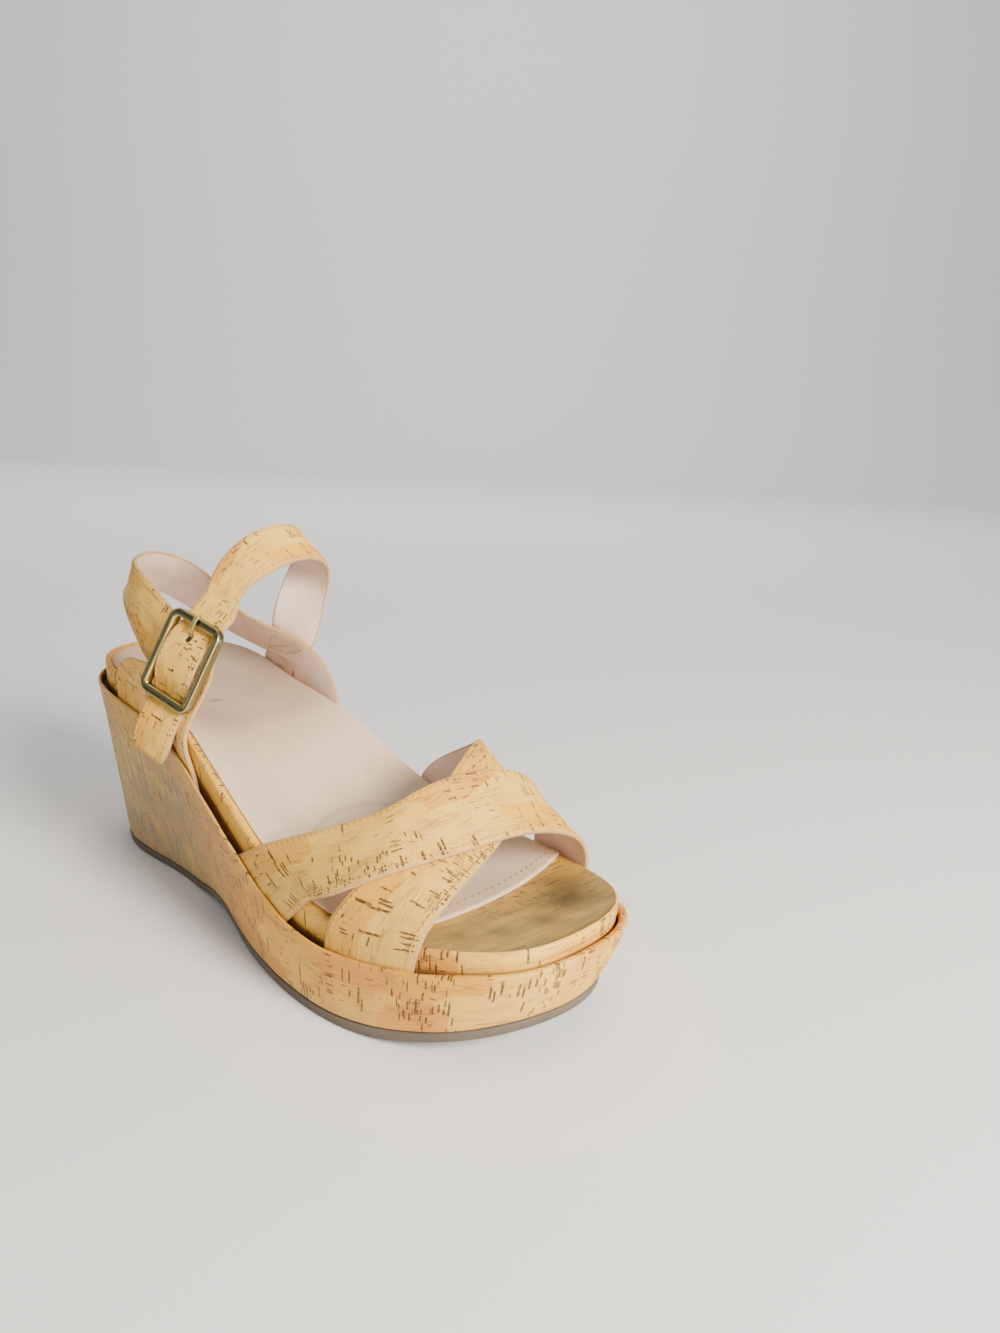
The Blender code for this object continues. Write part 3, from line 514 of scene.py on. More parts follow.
# The prong's slot in the strap, as three holes that run together, and the next hole below it, each a
# near-black spot of painted shade
strapHoles = [(atBuckle(0.0, 0.0077 + step, 0.0010), 0.0011) for step in (0.0, 0.0011, 0.0022)]
strapHoles += [(atBuckle(0.0, -0.0040, 0.0014), 0.0009)]
strapCork = corkMaterial("strapCork", "light", (30.0, 70.0), 1.03, None, strapHoles)
wedgeCork = corkMaterial("wedgeCork", "rosy", (38.0, 60.0), 1.045, wedgeWearAndShade)
footbedCork = corkMaterial("footbedCork", "light", (38.0, 60.0), 1.0, footbedWear)

plain = {"fine": 1200.0, "slow": 60.0, "darker": 0.76, "depth": 0.00008, "relief": 0.6}


# One colour with slow clouds of a darker one and a fine grain
def plainMaterial(name, colour, roughness, slow=plain["slow"]):
    nodes = Nodes(name, roughness)
    where = nodes.place()
    grain = nodes.noise(where, plain["fine"], 3.0, 0.6)
    cloud = nodes.noise(where, slow, 3.0, 0.55)
    darker = tuple(part * plain["darker"] for part in colour[:3]) + (1,)
    nodes.colour(nodes.mix(nodes.step(cloud, 0.3, 0.7), darker, colour))
    nodes.bump(grain, plain["depth"], plain["relief"])
    return nodes.material


liningSuede = plainMaterial("liningSuede", (0.86, 0.65, 0.52, 1), 0.88)
edgePaint = plainMaterial("edgePaint", (0.56, 0.33, 0.125, 1), 0.75, 300.0)
soleRubber = plainMaterial("soleRubber", (0.140, 0.108, 0.075, 1), 0.8)
stitchThread = plainMaterial("stitchThread", (0.64, 0.38, 0.14, 1), 0.75)
fibreThread = plainMaterial("fibreThread", (0.92, 0.88, 0.78, 1), 0.8)

sockLook = {
    "cloudy": (0.60, 0.43, 0.285, 1), "pale": (0.74, 0.55, 0.370, 1),
    "heel": (0.42, 0.30, 0.22, 1), "crease": (0.33, 0.28, 0.24, 1),
    # the crease is the front half of an oval round this point
    "creaseMiddle": (-0.001, -0.130, 0.045), "creaseReach": (0.026, 0.020),
    # each worn place: its middle, its reach, its strength and its tone
    "marks": [
        ((0.000, 0.005, 0.066), (0.036, 0.050, 0.05), 0.75, (0.46, 0.36, 0.275, 1)),
        ((-0.018, -0.042, 0.070), (0.020, 0.026, 0.05), 0.55, (0.40, 0.31, 0.24, 1)),
        ((-0.006, -0.030, 0.066), (0.004, 0.002, 0.05), 0.60, (0.16, 0.12, 0.10, 1)),
        ((0.010, -0.152, 0.045), (0.042, 0.028, 0.05), 0.65, (0.42, 0.36, 0.28, 1)),
        ((0.018, -0.120, 0.050), (0.022, 0.022, 0.05), 0.35, (0.50, 0.42, 0.34, 1)),
        ((-0.028, -0.100, 0.055), (0.012, 0.030, 0.05), 0.35, (0.46, 0.38, 0.30, 1)),
    ],
}


# Suede sock: pale and cloudy, darker under the heel and ball, with the curved crease of the toes
def sockMaterial():
    nodes = Nodes("sockSuede", 0.9)
    nodes.shader.inputs["Specular IOR Level"].default_value = 0.15
    where = nodes.place()
    cloud = nodes.noise(where, 32.0, 4.0, 0.6)
    colour = nodes.mix(nodes.step(cloud, 0.30, 0.70), sockLook["cloudy"], sockLook["pale"])
    heel = nodes.step(nodes.axis(where, 1), -0.085, -0.01)
    colour = nodes.tinted(colour, heel, 0.50, sockLook["heel"])
    for spot, reach, strength, tone in sockLook["marks"]:
        colour = nodes.tinted(colour, blot(nodes, where, spot, reach, 0.55), strength, tone)
    away = nodes.vector("SUBTRACT", where, sockLook["creaseMiddle"])
    ring = nodes.vector("MULTIPLY", away, tuple(1 / part for part in sockLook["creaseReach"]) + (0.0,))
    line = nodes.math("ABSOLUTE", nodes.minus(nodes.vector("LENGTH", ring, output="Value"), 1.0))
    rear = nodes.step(nodes.axis(away, 1), 0.0, 0.012)
    crease = nodes.times(nodes.minus(1.0, nodes.step(line, 0.0, 0.09)), rear)
    nodes.colour(nodes.tinted(colour, crease, 0.40, sockLook["crease"]))
    nodes.bump(nodes.minus(nodes.noise(where, 1600.0, 3.0, 0.6), nodes.times(crease, 0.6)), 0.00007, 0.6)
    return nodes.material


sockSuede = sockMaterial()


# Aged metal that is bright where it is rubbed, and where its mark paints worn edges and highlights
def metalMaterial(name, colour, bright, roughness):
    nodes = Nodes(name, roughness, 1.0)
    where = nodes.place()
    rub = nodes.step(nodes.noise(where, 350.0, 3.0, 0.6), 0.5, 0.75)
    # The mark paints worn edges and highlights alike in the bright colour
    share = nodes.math("MAXIMUM", nodes.times(rub, 0.25), nodes.mark("wearAndHighlight"))
    nodes.colour(nodes.mix(share, colour, bright))
    nodes.bump(nodes.noise(where, 2500.0, 2.0), 0.00002, 0.4)
    return nodes.material


agedBrass = metalMaterial("agedBrass", (0.075, 0.070, 0.036, 1), (0.80, 0.64, 0.28, 1), 0.28)
print("materials ready")

# Points round each wall, and rows and columns of the surfaces that show and of those that are hidden
soleDetail = {"around": 520, "shown": (150, 70), "ground": (90, 16), "hidden": (90, 12)}
soleUneven = {"wedge": 0.00012, "footbed": 0.00006, "scale": 0.030}


# Points at equal shares of a closed curve, from the back of the heel round the inner side
def onCurve(curve, shares):
    lap = np.vstack([curve, curve[:1]])
    return np.stack([np.interp(shares, np.linspace(0, 1, len(lap)), lap[:, axis]) for axis in (0, 1)], -1)


# Rows of loops: a curve, its inward shift and its height for each step up the wall
def wallPiece(name, steps, material, marks=None, uneven=0.0, seed=1):
    shares = np.linspace(0, 1, soleDetail["around"] + 1)
    rings = []
    for curve, inward, height in steps:
        flat = onCurve(inset(curve, inward), shares[:-1])
        rings.append(place(flat[:, 0], flat[:, 1], height(flat[:, 0])))
    points = np.array(rings)
    rise = np.cumsum(np.linalg.norm(np.diff(points, axis=0, prepend=points[:1]), axis=2), axis=0)
    along = lengthAlong(onCurve(rimCurve, shares))
    uv = np.stack([np.broadcast_to(along, (len(points), len(along))), np.hstack([rise, rise[:, :1]])], -1)
    if uneven:
        outward = np.gradient(points, axis=1)
        outward = np.stack([outward[..., 1], -outward[..., 0], 0 * outward[..., 0]], -1)
        outward /= np.linalg.norm(outward, axis=2)[..., None]
        points = points + outward * (softNoise(points, soleUneven["scale"], seed) * uneven)[..., None]
    values = {key: make(points) for key, make in (marks or {}).items()}
    return gridMesh(name, points, uv, material, closeColumns=True, marks=values)


# A surface over an outline: rows along the foot, columns spaced by a sine across it
def topPiece(name, curve, height, material, detail, marks=None):
    rows, columns = soleDetail[detail]
    low, high = curve[:, 0].min(), curve[:, 0].max()
    run = low + (high - low) * (1 - np.cos(np.pi * np.arange(rows + 1) / rows))[:, None] / 2
    inner, outer = sides(curve, run)
    share = np.sin(np.linspace(-np.pi / 2, np.pi / 2, columns + 1))[None, :]
    across = outer + (inner - outer) * (share + 1) / 2
    run = np.broadcast_to(run, across.shape)
    points = place(run, across, height(run, share))
    values = {key: make(points) for key, make in (marks or {}).items()}
    return gridMesh(name, points, points[..., 1::-1] * (-1, 1), material, marks=values)


# Heights along the foot: a fixed offset from the rim, the footbed's edge or the ground
def above(offset):
    return lambda run: rimHeight(run) + offset


def edgeAt(offset):
    return lambda run: edgeHeight(run) + offset


def overGround(offset):
    return lambda run: groundHeight(run) + offset


# The same height all the way across
def evenAcross(height):
    return lambda run, share: height(run) + 0 * share


# ground * (1 - share) + rim * share, from just over the outsole to just under the lip
def between(share):
    foot = plan["outsole"] + plan["clear"]
    return lambda run: (groundHeight(run) + foot) * (1 - share) + (rimHeight(run) - 0.0008) * share


# first * (1 - share) + second * share
def blend(first, second, share):
    return first + (second - first) * share


outsole = {
    "inset": 0.0016, "flare": 0.03,  # how far its top has spread from the ground's outline to the rim's
    # spread, inward shift and height, from the tread up
    "side": [(0.0, 0.0016, 0.0), (0.0, 0.0003, 0.0001), (0.0, 0.0, 0.0006), (0.0, -0.0001, 0.0016),
             (0.03, -0.0002, 0.0026), (0.03, 0.0002, 0.0031), (0.03, 0.0016, 0.0032)],
}
outsoleWall = wallPiece("outsoleWall", [(blend(groundCurve, rimCurve, flare), shift, overGround(lift))
                                        for flare, shift, lift in outsole["side"]], soleRubber)
tread = topPiece("tread", inset(groundCurve, outsole["inset"]), evenAcross(overGround(0.0)),
                 soleRubber, "ground")
outsoleTop = topPiece("outsoleTop", inset(blend(groundCurve, rimCurve, outsole["flare"]), outsole["inset"]),
                      evenAcross(overGround(plan["outsole"])), soleRubber, "ground")
dressed(weld(joined("outsoleSheet", [outsoleWall, tread, outsoleTop])), ["outsole"])

wedge = {
    "flare": 0.047, "rows": (0.03, 0.985, 26), "trayInset": 0.0040, "footInset": 0.0010,
    "foot": [(0.0010, 0.0), (0.0002, 0.004), (0.0, 0.012)],  # inward shift and share of the height
    "fullFrom": 0.84, "fullReach": 0.08, "full": 0.6,  # the wall swells under the rim at the toe
    "lipInner": 0.853, "lipOuter": 0.884, "lipReach": 0.040, "lipGrowth": 0.0016,
    # share of the lip's width, further inward shift and height over the rim
    "lip": [(0, 0.0, -0.0007), (0, 0.0001, -0.0003), (0, 0.00035, -0.00005), (0.6, 0.0, 0.0),
            (0.9, 0.0, -0.0002), (1, 0.0, -0.0006), (1, 0.0, -0.0030), (1, 0.0004, -0.0058),
            (0, 0.0040, -0.0060)],
}


# The lip is thin where straps go in, and nearly fills the groove in front of them
def lipInset(share):
    run, across = rimCurve[:, 0] / length, rimCurve[:, 1]
    start = np.where(across > 0, wedge["lipInner"], wedge["lipOuter"])
    front = np.clip((run - start) / wedge["lipReach"], 0, 1)
    return share * (plan["lip"] + wedge["lipGrowth"] * front ** 2 * (3 - 2 * front))


# The inner face of the lip lies in the groove and is marked for the groove's painted shade
def lipGrooveShade(points):
    return np.broadcast_to((np.arange(len(points)) > len(points) - 4)[:, None], points.shape[:2])


# The footbed's wall lies in the groove up to the rim, and is marked there for the groove's painted shade
def wallGrooveShade(points):
    run = plan["heelSeat"] - points[..., 1]
    return np.clip((rimHeight(run) + 0.0006 - points[..., 2]) / 0.0012, 0, 1)


foot = blend(groundCurve, rimCurve, wedge["flare"])
toeward = np.clip((rimCurve[:, :1] / length - wedge["fullFrom"]) / wedge["fullReach"], 0, 1)
wedgeSteps = [(foot, shift, between(share)) for shift, share in wedge["foot"]]
wedgeSteps += [(blend(foot, rimCurve, s + wedge["full"] * toeward * s * (1 - s)), 0.0, between(s))
               for s in np.linspace(*wedge["rows"])]
wedgeSteps += [(rimCurve, lipInset(share) + shift, above(lift)) for share, shift, lift in wedge["lip"]]
wedgeWall = wallPiece("wedgeWall", wedgeSteps, wedgeCork, {"groove": lipGrooveShade}, soleUneven["wedge"], 4)
wedgeBottom = topPiece("wedgeBottom", inset(foot, wedge["footInset"]), evenAcross(between(0.0)),
                       wedgeCork, "hidden")
wedgeTray = topPiece("wedgeTray", inset(rimCurve, wedge["trayInset"]), evenAcross(above(-plan["tray"])),
                     wedgeCork, "hidden")

fibres = {
    "count": 260, "tufts": 26, "from": 0.925, "to": 0.990, "spread": 0.0016, "ends": (0.92, 0.992),
    "under": (0.0001, 0.0030), "reach": (0.0010, 0.0040), "radius": 0.00006, "root": 0.0001,
    "taper": [1, 1, 0.9, 0.8, 0.6, 0.3],
}


# Frayed threads where the rim is rubbed: start + reach * (way * at + curl * at ** 2 / 2), three-sided
def frayedFibres():
    rng = np.random.default_rng(12)
    count = fibres["count"]
    tufts = rng.uniform(fibres["from"], fibres["to"], fibres["tufts"])
    run = length * np.clip(rng.choice(tufts, count) + rng.normal(0, fibres["spread"], count), *fibres["ends"])
    line, _ = sides(rimCurve, run)
    start = place(run, line, rimHeight(run) - rng.uniform(*fibres["under"], count))
    ahead, _ = sides(rimCurve, run + 0.001)
    out = np.stack([np.full(count, 0.001), ahead - line, np.zeros(count)], -1)
    out /= np.linalg.norm(out, axis=1)[:, None]
    reach = rng.uniform(*fibres["reach"], count)[:, None]
    way = out * (rng.uniform(0.2, 0.9, count)[:, None]) + rng.normal(0, 0.5, (count, 3))
    way[:, 2] = rng.uniform(-0.2, 0.6, count)
    way /= np.linalg.norm(way, axis=1)[:, None]
    curl = rng.normal(0, 0.6, (count, 3))
    at = np.linspace(0, 1, len(fibres["taper"]))[None, :, None]
    path = (start[:, None] - fibres["root"] * out[:, None]
            + reach[:, None] * (way[:, None] * at + curl[:, None] * at ** 2 / 2))
    turn = np.linspace(0, 2 * math.pi, 4)[:-1]
    ring = np.stack([np.cos(turn), np.sin(turn), 0.4 * np.cos(turn + 1)], -1) * fibres["radius"]
    points = path[:, :, None] + ring[None, None] * np.array(fibres["taper"])[None, :, None, None]
    return threadMesh("fibres", points, fibreThread, False)


platformBody = weld(joined("platformBody", [wedgeWall, wedgeBottom, wedgeTray]))
dressed(joined("platformWedge", [platformBody, frayedFibres()]), ["platform"])


# Edge - depth * (1 - rise ** power): the cup is deepest in the middle and rounded at the heel's back
def footbedHeight(run, share):
    heelEnd, cupCentre = footbedCurve[:, 0].min(), plan["cupCentre"] * length
    back = np.clip((cupCentre - run) / (cupCentre - heelEnd), 0, 1)
    rise = np.sqrt(back ** 2 + share ** 2 * (1 - back ** 2))
    dish = level(3, run)
    depth = np.maximum(plan["cupDepth"] * dish + plan["ballDish"] * (1 - dish), 0)
    return edgeHeight(run) - depth * (1 - rise ** plan["cupPower"])


footbed = {
    # inward shift from the rim's curve and height over the rim, then over the footbed's own edge
    "side": [(0.0040, -0.0057), (0.0034, -0.0050), (0.0034, -0.0010), (0.0034, -0.0002),
             (0.0033, 0.0006), (0.0033, 0.0014)],
    "edge": [(0.0031, -0.0040), (0.0030, -0.0022), (0.0030, -0.0012), (0.0031, -0.0006),
             (0.0034, -0.0002), (0.0038, 0.0)],
}
footbedSteps = ([(rimCurve, shift, above(lift)) for shift, lift in footbed["side"]]
                + [(rimCurve, shift, edgeAt(lift)) for shift, lift in footbed["edge"]])
footbedWall = wallPiece("footbedWall", footbedSteps, footbedCork, uneven=soleUneven["footbed"], seed=9,
                        marks={"topside": lambda points: 0 * points[..., 0], "groove": wallGrooveShade})
footbedBottom = topPiece("footbedBottom", inset(rimCurve, footbed["side"][0][0]),
                         evenAcross(above(footbed["side"][0][1])), footbedCork, "hidden")
footbedTop = topPiece("footbedTop", inset(rimCurve, footbed["edge"][-1][0]), footbedHeight, footbedCork,
                      "shown", {"topside": lambda points: 0 * points[..., 0] + 1})
dressed(weld(joined("footbedBody", [footbedWall, footbedBottom, footbedTop])), ["footbed"])
print("sole built")

sock = {
    "innerMargin": 0.0014, "outerMargin": 0.0026, "top": 0.0008, "thickness": 0.0008, "gap": 0.0002,
    "rows": 170, "columns": 70, "rowPower": 1.3, "bow": 0.006, "skew": 0.004, "bowFrom": 0.7,
}


# The footbed's own height plus the lining, over rows that bow forward towards the front edge
def sockGrid(lift):
    margin = np.where(footbedCurve[:, 1] > 0, sock["innerMargin"], sock["outerMargin"])
    border, outerBorder = inset(footbedCurve, margin), inset(footbedCurve, sock["top"])
    share = np.sin(np.linspace(-np.pi / 2, np.pi / 2, sock["columns"] + 1))[None, :]
    start, front = border[:, 0].min(), plan["sockFront"]
    run = start + (front - start) * np.linspace(0, 1, sock["rows"] + 1)[:, None] ** sock["rowPower"]
    reach = np.clip((run - sock["bowFrom"] * front) / ((1 - sock["bowFrom"]) * front), 0, 1) ** 2
    run = run + (sock["bow"] * (1 - share ** 2) - sock["skew"] * share) * reach
    inner, outer = sides(border, run)
    across = outer + (inner - outer) * (share + 1) / 2
    farInner, farOuter = sides(outerBorder, run)
    wide = 2 * (across - farOuter) / (farInner - farOuter) - 1
    return place(run, across, footbedHeight(run, wide) + lift)


# A thin sheet: two grids joined at their sides, with a strip across each end
def doubleFace(name, upper, lower, material):
    points = np.concatenate([upper, lower[:, ::-1]], axis=1)
    uv = np.concatenate([points[..., 1::-1], points[:, :1, 1::-1]], axis=1)
    sheet = gridMesh(name, points, uv, material, closeColumns=True)
    ends = []
    for row in (0, -1):
        pair = np.stack([upper[row], lower[row]])
        ends.append(gridMesh(name + "End", pair, pair[..., 1::-1], material))
    return weld(joined(name, [sheet] + ends))


sockTop = sockGrid(sock["gap"] + sock["thickness"])
sockBody = doubleFace("sockBody", sockTop, sockGrid(sock["gap"]), sockSuede)
print("sock built")

straps = {
    "wall": 0.0015, "tabWall": 0.0012, "frontWidth": 0.0250, "slingWidth": 0.0208,
    "instepWidth": 0.0185, "tabWidth": 0.0190, "vampRise": 0.0280, "ankleRise": 0.0600,
    "seat": 0.0042, "buckleFit": 0.0178, "step": 0.0012, "edgeRound": 0.0005,
    "flat": 17, "edge": 5, "grid": 41, "puff": 0.00010, "wave": 0.00016, "waveScale": 0.016,
}
# distance from the heel's back, across, rise, then the way from rear to front edge: fore, side, lift
overFolds = [
    (0.729, -0.783, 0.50, 0.81, -0.41, -0.42),
    (0.782, -0.565, 0.80, 0.82, -0.45, -0.36),
    (0.804, -0.198, 0.96, 0.82, -0.15, -0.55),
    (0.814, 0.267, 0.98, 0.80, -0.16, -0.58),
    (0.814, 0.650, 0.76, 0.88, -0.21, -0.42),
]
underFolds = [
    (0.835, -0.594, 0.47, 0.95, 0.25, -0.20),
    (0.828, -0.424, 0.60, 0.95, 0.18, -0.27),
    (0.797, 0.080, 0.92, 0.79, 0.29, -0.55),
    (0.756, 0.491, 1.10, 0.70, 0.34, -0.62),
    (0.672, 0.829, 0.66, 0.72, 0.22, -0.66),
]
slingFolds = [
    (0.358, -0.550, 0.15, 0.84, 0.21, 0.51),
    (0.281, -0.511, 0.29, 0.46, 0.46, 0.76),
    (0.204, -0.503, 0.42, 0.23, 0.28, 0.93),
    (0.105, -0.372, 0.54, 0.58, -0.03, 0.82),
    (0.053, 0.008, 0.53, 0.66, 0.07, 0.75),
    (0.091, 0.309, 0.37, 0.50, -0.07, 0.86),
    (0.151, 0.380, 0.26, 0.61, -0.35, 0.71),
    (0.234, 0.462, 0.21, 0.69, -0.37, 0.62),
    (0.289, 0.538, 0.18, 0.95, 0.06, 0.30),
]
instepFolds = [
    (0.345, -0.217, 0.75, 0.94, 0.08, -0.33),
    (0.353, 0.113, 0.95, 0.73, 0.43, -0.54),
    (0.352, 0.440, 0.96, 0.70, 0.27, -0.66),
    (0.312, 0.601, 0.72, 0.79, 0.39, -0.48),
    (0.297, 0.577, 0.54, 0.70, 0.67, -0.24),
    (0.278, 0.564, 0.28, 0.65, 0.66, -0.38),
]
tabFolds = [(0.289, -0.780, 0.14, 0.740, 0.000, -0.670)]
# rear and front edge in the groove, and the lean towards the toe for each rise
seats = {
    "overOuter": (0.571, 0.687, 0.94), "overInner": (0.745, 0.851, -0.07),
    "underOuter": (0.755, 0.876, 0.23), "underInner": (0.556, 0.651, 0.18),
    "slingOuter": (0.370, 0.452, -0.70), "slingInner": (0.286, 0.405, -0.04),
    "instepInner": (0.172, 0.270, 0.36), "tabOuter": (0.181, 0.287, 0.00),
}
# along the strap in metres, depth, half width and slant of each crease
creases = {
    "over": [(0.0150, 0.00022, 0.0016, 0.0030), (0.0225, 0.00014, 0.0022, -0.0020),
             (0.0700, 0.00012, 0.0030, 0.0030)],
    "under": [(0.0140, 0.00020, 0.0018, -0.0020), (0.0205, 0.00012, 0.0020, 0.0020)],
    "instep": [(0.0120, 0.00012, 0.0016, 0.0010), (0.0560, 0.00020, 0.0013, 0.0016),
               (0.0620, 0.00024, 0.0016, -0.0012), (0.0690, 0.00014, 0.0020, 0.0018),
               (0.0900, 0.00010, 0.0030, -0.0020)],
}


# Middle, reach and bow of one row in the groove: the edges lie on the rim's curve moved inwards
def seatRow(seat, side, height, inwards, rise):
    run = np.array([seat[0], (seat[0] + seat[1]) / 2, seat[1]]) * length + seat[2] * rise
    inner, outer = sides(inset(rimCurve, inwards), run)
    rear, middle, front = place(run, inner if side > 0 else outer, height(run))
    return (rear + front) / 2, front - rear, middle - (rear + front) / 2


# A strap's end: deep in the groove, at the rim and just over the footbed's edge
def seatRows(name, side, wall=straps["wall"]):
    seat, middle = seats[name], plan["lip"] + plan["groove"] / 2
    lean = plan["lip"] + plan["groove"] - plan["slack"] - plan["clear"] - wall / 2 - 0.0001
    return [seatRow(seat, side, above(-straps["seat"]), middle, -straps["seat"]),
            seatRow(seat, side, rimHeight, middle, 0.0),
            seatRow(seat, side, edgeAt(0.0006), lean, plan["footbedSide"] + 0.0006)]


# Rows over the foot: a point over the footbed's edge and the strap's width along its own way
def foldRows(folds, rise, width):
    rows = []
    for along, across, up, fore, side, lift in folds:
        reach = np.array([side, -fore, lift])
        height = edgeHeight(np.array(along * length)) + up * rise
        rows.append((place(along * length, across * plan["ballInner"], height),
                     width * reach / np.linalg.norm(reach), np.zeros(3)))
    return rows


# Rows through the buckle, in shares of its half height
def threadRows(threads):
    half = buckle["height"] / 2
    return [(atBuckle(a * half, h * half, d * half), straps["buckleFit"] * buckleFore, np.zeros(3))
            for a, h, d in threads]


# Middle surface of a strap: path + reach * share / 2 + bow * (1 - share ** 2), all on splines
def strapSurface(rows, shares, step=straps["step"]):
    middle, reach, bow = (np.array(part) for part in zip(*rows))
    knots = lengthAlong(middle)
    at = np.linspace(0, knots[-1], int(knots[-1] / step) + 1)
    path, spread, arch = (naturalSpline(knots, part, at)[:, None] for part in (middle, reach, bow))
    share = np.asarray(shares)[None, :, None]
    face = path + spread * share / 2 + arch * (1 - share ** 2)
    normal = np.cross(np.gradient(face, axis=1), np.gradient(face, at, axis=0))
    return face, normal / np.linalg.norm(normal, axis=2)[:, :, None], at


# The strap's skin: a flat outer face, rounded edges and an inner face, carried along the path, with
# depth * exp(-((along - place - slant * share) / width) ** 2) taken off for each crease
def strapPiece(name, rows, width, seed, folds=(), wall=straps["wall"]):
    flat, back = straps["flat"], straps["flat"] + straps["edge"]
    rounding = straps["edgeRound"] / (width / 2)
    flatShares = np.linspace(-1 + rounding, 1 - rounding, flat)
    turns = np.linspace(0, math.pi, straps["edge"] + 2)[1:-1]
    edgeShares = 1 - rounding + rounding * np.sin(turns)
    shares = np.r_[flatShares, edgeShares, flatShares[::-1], -edgeShares]
    depth = np.r_[np.full(flat, 0.5), np.cos(turns) / 2, np.full(flat, -0.5), -np.cos(turns) / 2] * wall
    grid = np.linspace(-1, 1, straps["grid"])
    face, normal, at = strapSurface(rows, grid)
    pick = np.clip(np.searchsorted(grid, shares) - 1, 0, straps["grid"] - 2)
    part = ((shares - grid[pick]) / (grid[pick + 1] - grid[pick]))[None, :, None]
    middle = face[:, pick] * (1 - part) + face[:, pick + 1] * part
    outward = normal[:, pick] * (1 - part) + normal[:, pick + 1] * part
    outward /= np.linalg.norm(outward, axis=2)[:, :, None]
    puff = straps["puff"] * (1 - np.abs(shares) ** 4) * np.sign(depth)
    wave = straps["wave"] * softNoise(middle, straps["waveScale"], seed) * (1 - shares ** 2)
    for where, deep, wide, slant in folds:
        wave = wave - deep * np.exp(-((at[:, None] - where - slant * shares[None, :]) / wide) ** 2)
    points = middle + outward * (depth + puff + wave)[..., None]
    around = shares * width / 2 + (depth < -wall / 4) * 0.05
    uv = np.stack(np.broadcast_arrays(at[:, None], np.append(around, around[0])[None, :]), -1)
    slots = np.ones(len(shares), int)  # cork outside, painted edges, suede inside
    slots[:flat - 1] = 0
    slots[back:back + flat - 1] = 2
    body = gridMesh(name, points, uv, [strapCork, edgePaint, liningSuede], closeColumns=True,
                    slots=slots[None, :])
    ends = []
    for row in (0, -1):
        half = np.stack([points[row, :flat], points[row, back:back + flat][::-1]])
        ends.append(gridMesh(name + "End", half, half[..., :2], edgePaint))
    return weld(joined(name, [body] + ends))


stitch = {
    "pitch": 0.0021, "part": (0.08, 0.80), "wide": 0.00024, "high": 0.00016, "dip": 0.00006,
    "hump": [-0.6, 0.7, 1.0, 0.7, -0.6], "taper": [0.5, 1.0, 1.05, 1.0, 0.5], "sides": 6,
    "last": 0.010, "lift": straps["wall"] / 2 + 0.00020,
    "sockPitch": 0.0016, "sockEnds": 0.003, "sockLift": 0.0001, "sockZigzag": 0.00045,
    "crossPitch": 0.0019, "crossStart": 0.0002, "crossRows": 13, "crossColumns": 12,
}


# Small bars of thread along a line, each a low ridge that dips at its ends; zigzag sets them askew
def threadBars(name, line, out, pitch, first, last, lift, zigzag=0.0):
    run, steps = lengthAlong(line), len(stitch["hump"])
    count = int((run[-1] - first - last) / pitch)
    start = first + pitch * np.arange(count)[:, None]
    along = start + np.linspace(*stitch["part"], steps)[None, :] * pitch
    path = np.stack([np.interp(along, run, line[:, axis]) for axis in range(3)], -1)
    away = np.stack([np.interp(along, run, out[:, axis]) for axis in range(3)], -1)
    ahead = np.gradient(path, axis=1)
    ahead /= np.linalg.norm(ahead, axis=2)[..., None]
    aside = np.cross(away, ahead)
    askew = np.where(np.arange(count) % 2, 1, -1)[:, None] * np.linspace(-1, 1, steps)[None, :]
    path = path + zigzag * askew[..., None] * aside
    turn = np.linspace(0, 2 * math.pi, stitch["sides"] + 1)[:-1][None, None, :, None]
    ring = (np.cos(turn) * aside[:, :, None] * stitch["wide"]
            + np.sin(turn) * away[:, :, None] * stitch["high"])
    hump = np.array(stitch["hump"])[None, :, None] * stitch["dip"]
    points = (path + away * (lift + hump))[:, :, None] + ring * np.array(stitch["taper"])[None, :, None, None]
    return threadMesh(name, points, stitchThread, True)


# A row of stitches at a share of the strap's half width
def stitchLine(name, rows, share, first):
    face, normal, _ = strapSurface(rows, [share - 0.02, share, share + 0.02], 0.0004)
    return threadBars(name, face[:, 1], normal[:, 1], stitch["pitch"], first, stitch["last"], stitch["lift"])


frontRow = sockTop[-4]
sockStitch = threadBars("sockStitch", frontRow, np.broadcast_to([0.0, 0.0, 1.0], frontRow.shape),
                        stitch["sockPitch"], stitch["sockEnds"], stitch["sockEnds"], stitch["sockLift"],
                        stitch["sockZigzag"])
dressed(joined("sockLining", [sockBody, sockStitch]), ["sock_lining"])


# A front strap's rows, from its outer seat over the toes to its inner seat
def frontRows(folds, name):
    return (seatRows(name + "Outer", -1) + foldRows(folds, straps["vampRise"], straps["frontWidth"])
            + seatRows(name + "Inner", 1)[::-1])


overRows, underRows = frontRows(overFolds, "over"), frontRows(underFolds, "under")
frontPieces = [strapPiece("overStrap", overRows, straps["frontWidth"], 3, creases["over"]),
               strapPiece("underStrap", underRows, straps["frontWidth"], 5, creases["under"])]
for rows, label in ((overRows, "over"), (underRows, "under")):
    for share in (-0.86, 0.86):
        frontPieces.append(stitchLine(label + "Stitch", rows, share, 0.010))
dressed(joined("frontStraps", frontPieces), ["front_straps"])

